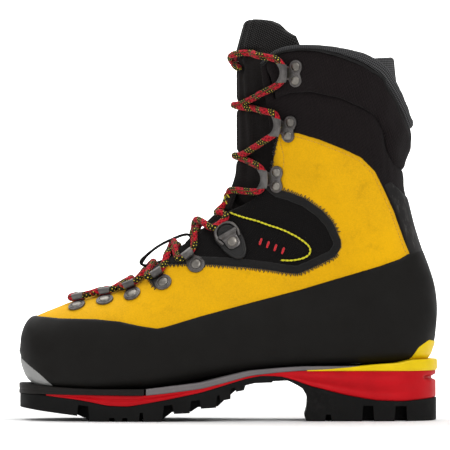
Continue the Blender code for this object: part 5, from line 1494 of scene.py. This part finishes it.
def lace_lock(sign, label):
    seat = seats["lock", 0, sign] = Seat(*LOCK, sign, lift=.5)
    base = Build()
    base.mount(seat, plate(lock_plan, (0, 1), low=0, high=2.6, edge=1.1, crown=-.2))
    rim = ray_outline(lambda x, y: lock_plan(x, y) + 2.3, (0, 1), 72, 24)
    rim = smooth(np.column_stack([rim, np.full(72, 2.25)]), 2, closed=True)
    base.mount(seat, sweep(rim, .55, 8, closed=True, normals=UP))
    finish(base, "lace_lock_base_" + label, BLACK_PLASTIC, "foot", "lock_base_" + label)

    strap = Build()
    strap.mount(seat, sweep(resample(LOCK_ARCH, 48), 1.25, 12, normals=UP, flat=1.2,
                            squareness=3.0))
    strap.mount(seat, ribbon(LOCK_TONGUE, thick=1.2))
    strap.mount(seat, torus(radius=4.35, tube=.4, z=3.6))
    finish(strap, "lace_lock_strap_" + label, METAL, "foot", "lock_strap_" + label)

    head = Build()
    head.mount(seat, rivet(width=1.12, lift=3.5))
    finish(head, "lace_lock_rivet_" + label, RIVET_METAL, "foot", "lock_rivet_" + label)

    cam = Build()
    cam.mount(seat, plate(cam_plan, (0, 10), low=2.7, high=5.1, edge=.4))
    ridge = [(-5.0, 10.6, 5.0), (0, 11.4, 5.15), (5.0, 10.6, 5.0)]
    cam.mount(seat, sweep(ridge, .3, 8, normals=UP))
    axle = [(x, 7.4, 4.2) for x in (-6.6, 0, 6.6)]
    cam.mount(seat, sweep(axle, .8, 12, normals=UP))
    finish(cam, "lace_lock_cam_" + label, BLACK_PLASTIC, "lock_jaw_" + label, "lock_jaw_" + label)


for sign, label in SIDES:
    eyelets(sign, label)
    speed_hooks(sign, label)
    lace_lock(sign, label)

# ---------------------------------------------------------------- the lace
LACE_R = 2.5
# height of the tongue above the loft by section
TONGUE_SEC = [0, 5, 9, 11, 12, 13, 14, 15, 16, 17, 18, 19, 20, 31]
TONGUE_MID = [-4.6, -4.6, -4.8, -5.2, -6.2, -7.4, -8.8, -9.0, -8.8, -8.4, -7.2, -6.2, -5.8, -5.8]
# lace through each kind of fastener, in the seat's frame: x, y, z
STATIONS = {
    "loop": [(-7.6, 11.8, 3.7), (-4, 10.1, 3.25), (0, 9.75, 3.15), (4, 10.1, 3.25),
             (7.6, 11.8, 3.7)],
    "lock": [(-7.5, 17.6, 3.6), (-2.5, 16.6, 3.6), (3, 17.4, 4.2), (7.5, 19.4, 4.8)],
    "hook": [(-9.6, 13.6, 4.2), (-6.4, 9.9, 4.3), (-3.2, 7.9, 4.3), (0, 7.3, 4.3),
             (3.2, 7.9, 4.3), (6.4, 9.9, 4.3), (9.6, 13.6, 4.2)],
}
ORDER = [("loop", k) for k in range(5)] + [("lock", 0)] + [("hook", k) for k in range(3)]
# crossing after each fastener but the last: section, how far it sinks into the tongue;
# the one after the lock runs through the keeper instead
CROSSINGS = [(7.6, .2), (8.65, .2), (9.8, .2), (11.2, .2), (12.8, .6), None, (18.5, 5), (22.65, 5)]
# free ends from the top hook to the tip, on the left and on the right: x, y, z
LEFT_END = [
    (28, -27, 267.3), (17.5, -20.5, 269.3), (8, -12.5, 269), (2.6, -4.5, 267.6), (1.8, 2, 265),
    (4.2, 9.5, 262), (9, 17, 260)]
RIGHT_END = [
    (28, 27, 267.3), (17, 20, 269.5), (8, 11.5, 267), (4.3, 2, 262.6), (5.2, -5, 259.6),
    (9, -12, 258)]


def tongue_mid(sheet):
    return np.interp(sheet.sec, TONGUE_SEC, TONGUE_MID)


def front_point(sec, lift):
    """Point on the front midline, lifted off the loft."""
    before, row, after = spline(SECTIONS, [sec - .3, sec, sec + .3])
    dx, dz = after[0] - before[0], after[1] - before[1]
    normal = unit(np.array([-dz, 0, dx]))
    if normal[0] > 0:
        normal = -normal
    return np.array([row[0], (row[4] + row[5]) / 2, row[1]]) + normal * lift


def keeper_points(sign, over):
    """Lace from the lock on one side through the keeper to the other side."""
    return [(-8.8, sign * 8.5, 152.0), (-3.6, sign * 4.2, 156.4),
            (1.8 if over else 4.0, 0, 161.5), (1.0, -sign * 2.4, 166.2),
            (2.0, -sign * 7.0, 168.8)]


def strand(first):
    """One half of the lace from the toe up, starting on the given side."""
    points, sign = [], first
    for k, (kind, number) in enumerate(ORDER):
        seat = seats[kind, number, sign]
        points += list(seat([(x * seat.upward, y, z) for x, y, z in STATIONS[kind]]))
        if k == len(ORDER) - 1:
            break
        over = (first > 0) == (k % 2 == 0)
        if CROSSINGS[k] is None:
            points += keeper_points(sign, over)
        else:
            sec, sink = CROSSINGS[k]
            level = float(np.interp(sec, TONGUE_SEC, TONGUE_MID)) + .6 + LACE_R - sink
            over_lift = LACE_R * (1.55 if k < 5 else 1.3) if over else 0
            points.append(front_point(sec, level + over_lift))
            if k > 5:
                points.append(front_point(sec, level - 1.2) + np.array([1.2, sign * -10.0, 1.2]))
        sign = -sign
    return [tuple(point) for point in points]


def cleared(path, radius):
    """Lifts a path clear of the tongue and the edges of the opening."""
    normals = FINE_NORMALS.reshape(-1, 3)
    marks = np.zeros((len(FINE_POINTS), 4))
    marks[:, 0] = np.repeat(FINE_PLACES, FINE.shape[1])
    sheet = Sheet(FINE_POINTS, normals, marks, None)
    outside = np.clip(1 + (throat(sheet) + .5) / 5.0, 0, 1)
    surface = (tongue_mid(sheet) - 1.6) * (1 - outside) + .5 * outside
    out = path.copy()
    for _ in range(3):
        for i in range(len(out)):
            k = np.argmin(((FINE_POINTS - out[i]) ** 2).sum(axis=1))
            need = surface[k] + radius + .15
            height = float((out[i] - FINE_POINTS[k]) @ normals[k])
            if height < need:
                out[i] = out[i] + normals[k] * (need - height)
        out[1:-1] = out[1:-1] * .5 + (out[:-2] + out[2:]) * .25
    return out


def lace_path():
    path = np.array(LEFT_END[::-1] + strand(-1)[::-1] + [tuple(front_point(6.3, 3.4))]
                    + strand(1) + RIGHT_END)
    path = smooth(even(resample(path, len(path) * 14), 1.5), 3)
    return even(cleared(path, LACE_R), 1.3)


LACE_PATH = lace_path()
count = np.arange(len(LACE_PATH))
radii = LACE_R * (1 + .02 * np.sin(count * .9) + .02 * np.sin(count * 2.3))
radii[:2] *= (.5, .85)
radii[-2:] *= (.85, .5)
verts, faces, marks = sweep(LACE_PATH, radii, 14)
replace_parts(make("laces", verts, faces, LACE, "bend", marks, 70), "lace")

# ---------------------------------------------------------------- tongue
# top edge in side view (x, z)
TONGUE_TOP = [
    (-20, 291.4), (2, 292.8), (9.5, 293.6), (18, 292.6), (25.5, 290), (33, 284.6),
    (40.8, 281), (45, 275), (54, 262), (80, 236)]


def tongue_half(sheet):
    """Distance inside the tongue's side edges."""
    half = np.interp(sheet.sec, [5, 8, 12, 18, 24, 28, 31], [15, 20, 27, 34, 37, 42, 44])
    share, widest = share_back(sheet)
    return np.where(share > widest * .9, -10, half - np.abs(sheet.y - sheet.mid))


def dented(sheet):
    """How far the lace presses into the tongue."""
    tree = KDTree(len(LACE_PATH))
    for i, point in enumerate(LACE_PATH):
        tree.insert(Vector(point), i)
    tree.balance()
    middle = sheet.points + sheet.normals * tongue_mid(sheet)[:, None]
    gap = np.array([tree.find(Vector(point))[2] for point in middle])
    return 2.3 * np.exp(-np.clip(gap - 1.2, 0, 99) ** 2 / 7.0)


def tongue_off(sheet):
    """Tongue surface: it sinks under the edges of the opening and has ribs higher up."""
    tuck = ramp(throat(sheet), -10.0, 8.0)
    tuck = tuck * tuck * (3 - 2 * tuck)
    out = np.abs(sheet.y - sheet.mid)
    ribs = (bell(out, centre=11.0, width=1.7) + bell(out, centre=17.0, width=1.7)
            - .5 * bell(out, centre=14.0, width=1.2) - .5 * bell(out, centre=20.5, width=1.6))
    middle = tongue_mid(sheet)
    return (middle * (1 - tuck) + np.minimum(middle, -7.9) * tuck
            + ramp(sheet.sec, 16.5, 2) * ribs - dented(sheet)
            + rounded(sheet.edge, radius=4, drop=2.2))


def lean_back(sheet, sink=0.0):
    """Leans the part above z = 268 back towards the heel and sinks it."""
    lean = np.clip(sheet.z - 268, 0, 99) * .22
    sheet.points = sheet.points + np.column_stack([lean, 0 * lean, -.03 * lean - sink * (lean > 0)])


lower = region(lambda sheet: (16.6 - sheet.sec) * 10, tongue_half,
               free=(lambda sheet: (sheet.sec - 5.2) * 10,), score=(1.5,))
panel("tongue_lower", lower, tongue_off(lower), 3.4, TONGUE_CLOTH, "bend")
upper = region(lambda sheet: (sheet.sec - 15.2) * 10, under(TONGUE_TOP, 18.5), tongue_half,
               score=(1.5, 3.5))
lean_back(upper, sink=.6)
panel("tongue_upper", upper, tongue_off(upper), 3.4, TONGUE_CLOTH, "tongue")
knit = region(under(TONGUE_TOP, -.9), tongue_half,
              free=(lambda sheet: 23.0 - below(TONGUE_TOP, sheet),), score=(1.5, 3.5))
lean_back(knit)
panel("tongue_top_knit", knit, tongue_off(knit) + .9, 5.0, TONGUE_KNIT, "tongue")

# ---------------------------------------------------------------- stitches
CONTOUR = [(3, 150.6), (12, 148.6), (24, 145.2), (38, 140.6), (51, 134.6), (60, 128.6),
           (63.2, 124.2), (60.5, 120.6), (51, 118), (40, 116.4)]    # side view: x, z


def stitch_row(name, lines, material, pitch, length, radius, lift, body="bend", across=False,
               jitter=0.0, bow=.25, keep=None):
    """Short threads along lines given as (points, normals), lying along or across them."""
    build = Build()
    count = 0
    for points, normals in lines:
        points, normals = even(points, pitch, normals)
        normals = unit(normals)
        along = unit(np.gradient(points, axis=0))
        for i, (point, normal) in enumerate(zip(points, normals)):
            if keep is not None and not keep(point):
                continue
            wobble = jitter * math.sin(i * 12.9 + count * 3.1)
            way = (np.cross(normal, along[i]) if across else along[i]) + along[i] * wobble * .4
            half = length / 2 * (1 + wobble * .5)
            path = [point + normal * lift + way * half * end
                    + normal * (-.22 if abs(end) > .9 else bow * (1 - end * end))
                    for end in (-1, -.55, 0, .55, 1)]
            build.put(*sweep(path, np.array([.45, .95, 1, .95, .45]) * radius, 6,
                             normals=normal))
            count += 1
    if count:
        build.done(name, material, body, 60)


def contour_line(sign):
    """Stitched line that follows the rear edge of the flex panel."""
    route = even(resample(CONTOUR, 120), 3.1)
    laid = [on_surface(x, z, sign) for x, z in route]
    return tuple(smooth(np.array(rows), 5) for rows in zip(*laid))


def bar_tacks(sign, label):
    """Four thick stitches side by side, 5.2 long and 5.2 apart in x."""
    build = Build()
    normal = on_surface(30.0, 128.0, sign)[1]
    along = np.array([1.6, 0, 5.0])
    along = unit(along - normal * (normal @ along)) * 5.2
    for k in range(4):
        start = on_surface(24.0 + 5.2 * k, 128.0 - 1.8 * k, sign)[0]
        path = [start + along * share + normal * (1.15 + .2 * (1 - (2 * share - 1) ** 2))
                for share in (0, .12, .5, .88, 1)]
        build.put(*sweep(path, np.array([.5, .9, 1, .9, .5]) * .95, 8, normals=normal))
    build.done("bar_tacks_" + label, RED_THREAD, "bend", 60)


def opened(sheet):
    """The sheet outside the lacing opening."""
    return cut(sheet, throat(sheet) - .3, edge=False)


for sign, label in SIDES:
    half = opened(cut(WHOLE, on_side(sign)(WHOLE), edge=False))
    lines = [line for line in iso(half, inside(FLEX_OUT, half) + 2.9) if len(line[0]) > 8]
    stitch_row("flex_edge_stitches_" + label, lines, BLACK_THREAD, pitch=1.5, length=2.9,
               radius=.4, lift=.42, across=True, jitter=1.0,
               keep=lambda point: point[2] < 172 and point[0] < 80.5)
    stitch_row("eyestay_stitches_" + label, iso(half, inside(LEATHER_OUT, half) - .1),
               BLACK_THREAD, pitch=1.6, length=2.4, radius=.36, lift=.25, body="shaft",
               across=True, jitter=.8, keep=lambda point: 170 < point[2] < 210 and point[0] < 38)
    stitch_row("leather_seam_stitches_" + label, iso(UPPERS[sign], UPPERS[sign].edge - 2.9),
               YELLOW_THREAD, pitch=2.7, length=2.1, radius=.27, lift=.05,
               keep=lambda point: point[2] > 108)
    stitch_row("contour_stitches_" + label, [contour_line(sign)], LEMON_THREAD, pitch=3.0,
               length=3.2, radius=.72, lift=1.25, bow=.15)
    bar_tacks(sign, label)

# ---------------------------------------------------------------- collar binding, piping, pull tab
OPEN = opened(WHOLE)


def line_under_top(gap, step):
    """Longest line the given distance under the top of the shaft, evenly spaced."""
    lines = iso(OPEN, below(CUFF_TOP, OPEN) - gap)
    points, normals = max(lines, key=lambda line: len(line[0]))
    return even(points, step, normals)


def collar_binding():
    """Knitted roll along the top of the shaft, growing thicker towards the back."""
    points, normals = line_under_top(1.6, 2.0)
    points, normals = smooth(points, 8), unit(normals)
    grow = smooth(ramp(points[:, 0], 62, 50) ** 1.3, 6)
    rear = grow * np.clip((150 - points[:, 0]) / 25, .3, 1)
    centre = points - normals * (.5 + 1.8 * grow + .3 * rear)[:, None]
    run = run_length(points)
    lumps = 1 + .025 * np.sin(run * .55) + .02 * np.sin(run * 1.31)
    ends = np.clip(np.minimum(run, run[-1] - run) / 4.0, .35, 1)
    verts, faces, marks = sweep(centre, (1.5 + 2.4 * grow + .5 * rear) * lumps * ends, 24,
                                normals=normals, flat=.92, squareness=2.4)
    marks[:, 0] *= 3.4    # angle to roughly mm, for the knit
    ob = make("collar_binding_knit", verts, faces, COLLAR_KNIT, "shaft", marks, 80)
    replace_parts(ob, "collar_binding")


def collar_piping():
    points, normals = line_under_top(3.4 + 3.6 * ramp(OPEN.x, 60, 40), 2.5)
    verts, faces, marks = sweep(smooth(points, 2) - normals * .1, .95, 10, normals=normals)
    make("collar_piping", verts, faces, EDGING, "shaft", marks, 80)


def pull_tab():
    """Wide ribbed tab wrapped round the back of the shaft."""
    rows, cols, low, half_width = 46, 41, 221.0, 23.0
    verts, marks = [], []
    for layer in (1, -1):
        for rise in np.linspace(0, 1, rows):
            for side in np.linspace(-1, 1, cols):
                out = abs(side)
                corner = ramp(out, .8, .2)
                top = (265.6 + .8 * (1 - out) - 1.8 * max(0, 1 - out / .3) ** 2
                       - 6.0 * (1 - math.sqrt(max(1 - corner ** 2, 0))))
                z = low + (top - low) * rise
                x = 120.6 + 6.0 * ramp(z, 266, -45) ** 1.4 - 17.0 * out ** 2.2
                y = side * half_width
                normal = unit(np.array([1.0, math.copysign(1.63 * out ** 1.2, side)]))
                edge = min((1 - out) * half_width, (1 - rise) * (top - low))
                round_ = math.sqrt(max(1 - (1 - min(edge / 1.6, 1)) ** 2, .02))
                off = layer * (1.35 * round_ + .12 * math.cos(y * TAU / 2.4))
                verts.append((x + normal[0] * off, y + normal[1] * off, z))
                marks.append((y * 1.2, z, 0))
    build = Build()
    build.put(verts, slab_faces(rows, cols, cols, rows * cols), marks)
    ob = build.done("pull_tab_webbing", TAB_KNIT, "heel_tab", 60)
    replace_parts(ob, "heel_pull_tab")


collar_binding()
collar_piping()
pull_tab()

# ---------------------------------------------------------------- instep cord and keeper
# flat cord looping forward over the instep and back: x, y, z
INSTEP_CORD = [
    (-20.5, .4, 131.4), (-24, .2, 131.6), (-26.5, 0, 133), (-29, -1, 135.9), (-34, -2, 135.4),
    (-42, -3, 132.2), (-50, -3.6, 128.2), (-57.2, -3.4, 123), (-62.6, -2.2, 117.6),
    (-63.6, -.2, 114.6), (-60.6, 2, 113.2), (-55.6, 3.6, 114), (-50.6, 4.4, 115.8),
    (-45, 4, 117.6), (-38, 3.2, 121.6), (-32, 2.2, 126.2), (-27, 1.8, 129.6), (-21.5, 1.6, 131)]
path = even(resample(INSTEP_CORD, 120), 1.0)
verts, faces, marks = sweep(path, 1.6, 12, normals=(.5, 0, .86), flat=.62, squareness=2.6)
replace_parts(make("instep_cord", verts, faces, CORD, "instep_cord", marks, 70), "instep_loop")

# keeper on the front of the tongue: its midline in side view (x, z), from the top down
KEEPER = resample([(4, 170), (-.6, 168.2), (-2.6, 165), (-3.8, 161.2), (-5.2, 157.6),
                   (-5.4, 154.8), (-1.8, 152.6)], 25)
KEEPER_HALF = 9.0


def keeper_at(i, y, depth):
    """Point on the keeper's row i, the given depth behind its face."""
    k = max(1, min(len(KEEPER) - 2, i))
    dx, dz = KEEPER[k + 1] - KEEPER[k - 1]
    normal = unit(np.array([-dz, dx]))
    if normal[0] > 0:
        normal = -normal
    x, z = KEEPER[i] - normal * depth
    return np.array([x + .085 * y * y, y, z])


def keeper_web():
    rows, cols = len(KEEPER), 21
    verts, marks = [], []
    for i in range(rows):
        for layer in (0, 1):
            for y in np.linspace(-1, 1, cols) * KEEPER_HALF:
                edge = min(KEEPER_HALF - abs(y), 1.2) / 1.2
                verts.append(keeper_at(i, y, 1.5 if layer else .5 * (1 - edge)))
                marks.append((y, i * 1.0, 0))
    build = Build()
    build.put(verts, slab_faces(rows, cols, 2 * cols, cols), marks)
    ob = build.done("keeper_web", TONGUE_CLOTH, "bend", 50)
    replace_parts(ob, "lace_keeper")


def keeper_stitches():
    build = Build()
    for sign in (-1, 1):
        for k in range(5):
            row, y = 6 + 2.4 * k, sign * (4.2 + (k % 2) * 1.7)
            path = [keeper_at(int(round(row + end * 1.4)), y + sign * end * 1.4, -.3)
                    for end in (-1, -.4, .4, 1)]
            build.put(*sweep(path, np.array([.38, .5, .5, .38]), 6, normals=(-.9, 0, .4)))
    build.done("keeper_stitches", LEMON_THREAD, "bend", 60)


keeper_web()
keeper_stitches()

# ---------------------------------------------------------------- links to the frame
for ob in BENDS:
    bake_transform(ob)

REPLACED = {
    "leather_upper_left": ["leather_vamp", "leather_quarter_left"],
    "leather_upper_right": ["leather_quarter_right"],
    "flex_panel_left": ["flex_panel_left"],
    "flex_panel_right": ["flex_panel_right"],
    "ankle_cuff": ["ankle_cuff", "ankle_gusset"],
    "eyestay_left": ["eyestay_left"],
    "eyestay_right": ["eyestay_right"],
    "collar": ["collar"],
    "rand": ["rand"],
    "toe_insert": ["toe_insert"],
    "heel_insert": ["heel_insert"],
    "lining": ["lining_foot", "lining_shaft"],
    "tongue_lower": ["tongue_lower"],
    "tongue_upper": ["tongue_upper"],
    "toe_welt": ["toe_welt"],
    "midsole_band": ["midsole_band"],
    "midsole": ["midsole"],
    "heel_band": ["heel_welt"],
    "outsole_tread": ["outsole"],
}
PIECES = {ob.name: ob for ob in bpy.data.objects}
for name, nodes in REPLACED.items():
    # a piece that shares its name with a CAD piece was given the suffix .001
    taken = name not in PIECES or PIECES[name] in frame["nodes"].values()
    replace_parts(PIECES[name + ".001" if taken else name], *nodes)

INNER_MATERIALS = {"footbed": FOOTBED_CLOTH, "lasting_board": BOARD, "shank_plate": METAL,
                   "toe_puff": BOARD, "heel_counter": BOARD, "lace": LACE}
for name, ob in frame["nodes"].items():
    is_metal = any(part in name for part in ("loop_", "hook", "strap", "rivet"))
    material = INNER_MATERIALS.get(name, METAL if is_metal else BLACK_PLASTIC)
    for k in range(len(ob.data.materials)):
        ob.data.materials[k] = material
    if not ob.data.materials:
        ob.data.materials.append(material)


# ---------------------------------------------------------------- floor, lights, camera (metres)
def floor_material():
    """White floor that glows to pure white away from the boot and is clear from behind."""
    mat = Mat("studio_floor", (.93, .93, .93), rough=.8, Emission_Color=(1, 1, 1, 1))
    mat.link(Base_Color=mat.mix(mat.patches(scale=6, rough=.5, span=(.3, .7)),
                                (.92, .92, .92), (.94, .94, .94)))
    position = mat.add("ShaderNodeNewGeometry", "Position")
    camera_ray = mat.add("ShaderNodeLightPath", "Is Camera Ray")
    distance = mat.add("ShaderNodeVectorMath", "Value", p_operation="LENGTH", i0=position)
    glow = mat.range(distance, span=(.45, 1.5), to=(0, .75), curve="SMOOTHSTEP")
    mat.link(Emission_Strength=mat.times(glow, camera_ray))
    hidden = mat.times(position.node.outputs["Backfacing"], camera_ray)
    clear = mat.add("ShaderNodeBsdfTransparent")
    shader = mat.add("ShaderNodeMixShader", i0=hidden, i1=mat.bsdf.outputs[0], i2=clear)
    output = next(node for node in mat.tree.nodes if node.type == "OUTPUT_MATERIAL")
    mat.tree.links.new(shader, output.inputs["Surface"])
    return mat.material


def studio_floor():
    """Sheet 10 wide that curves up behind the boot with a radius of 0.9."""
    profile = [(y, 0.0) for y in np.linspace(-3.0, 1.6, 12)]
    profile += [(1.6 + .9 * math.sin(angle), .9 - .9 * math.cos(angle))
                for angle in np.linspace(.1, math.pi / 2, 14)]
    profile.append((2.5, 4.0))
    mesh = bpy.data.meshes.new("studio")
    mesh.from_pydata([(x, y, z) for y, z in profile for x in (-5.0, 5.0)], [],
                     [(2 * i, 2 * i + 1, 2 * i + 3, 2 * i + 2) for i in range(len(profile) - 1)])
    mesh.materials.append(floor_material())
    mesh.shade_smooth()
    add_object("studio_floor", mesh)


def point_at(ob, at, aim):
    ob.location = at
    ob.rotation_euler = (Vector(aim) - Vector(at)).to_track_quat("-Z", "Y").to_euler()


def area(name, at, aim, size, power):
    light = bpy.data.lights.new(name, "AREA")
    light.energy = power
    light.size = size
    point_at(add_object(name, light), at, aim)


studio_floor()
area("key", at=(1.0, -1.6, 1.7), aim=(0, 0, .12), size=1.1, power=24)
area("fill", at=(-1.6, -1.4, .8), aim=(0, 0, .12), size=1.5, power=8)
area("top", at=(.1, .1, 2.0), aim=(0, 0, .1), size=1.6, power=13)
area("back", at=(-.6, 1.2, 1.6), aim=(0, 0, .15), size=1.2, power=10)
area("backdrop", at=(0, 1.0, 1.9), aim=(0, 2.4, .5), size=2.4, power=30)

# the world is 1.0 bright to the camera and 0.4 as light
world = bpy.data.worlds.new("studio")
bpy.context.scene.world = world
world.use_nodes = True
tree = world.node_tree
background = tree.nodes["Background"]
background.inputs[0].default_value = (1, 1, 1, 1)
light_path = tree.nodes.new("ShaderNodeLightPath")
brightness = tree.nodes.new("ShaderNodeMath")
brightness.operation = "MULTIPLY_ADD"
brightness.inputs[1].default_value = .6
brightness.inputs[2].default_value = .4
tree.links.new(light_path.outputs["Is Camera Ray"], brightness.inputs[0])
tree.links.new(brightness.outputs[0], background.inputs[1])

CAMERA_DISTANCE = 8.0
CAMERA_RISE = math.radians(.8)
VIEW_WIDTH = .3305
SENSOR = 36
camera = bpy.data.cameras.new("camera")
camera.sensor_width = SENSOR
camera.lens = SENSOR * CAMERA_DISTANCE / VIEW_WIDTH
camera_ob = add_object("camera", camera)
aim = Vector((-.0022, 0, .143))
back_off = Vector((0, -CAMERA_DISTANCE * math.cos(CAMERA_RISE),
                   CAMERA_DISTANCE * math.sin(CAMERA_RISE)))
point_at(camera_ob, aim + back_off, aim)
bpy.context.scene.camera = camera_ob
bpy.context.scene.view_settings.view_transform = "Standard"
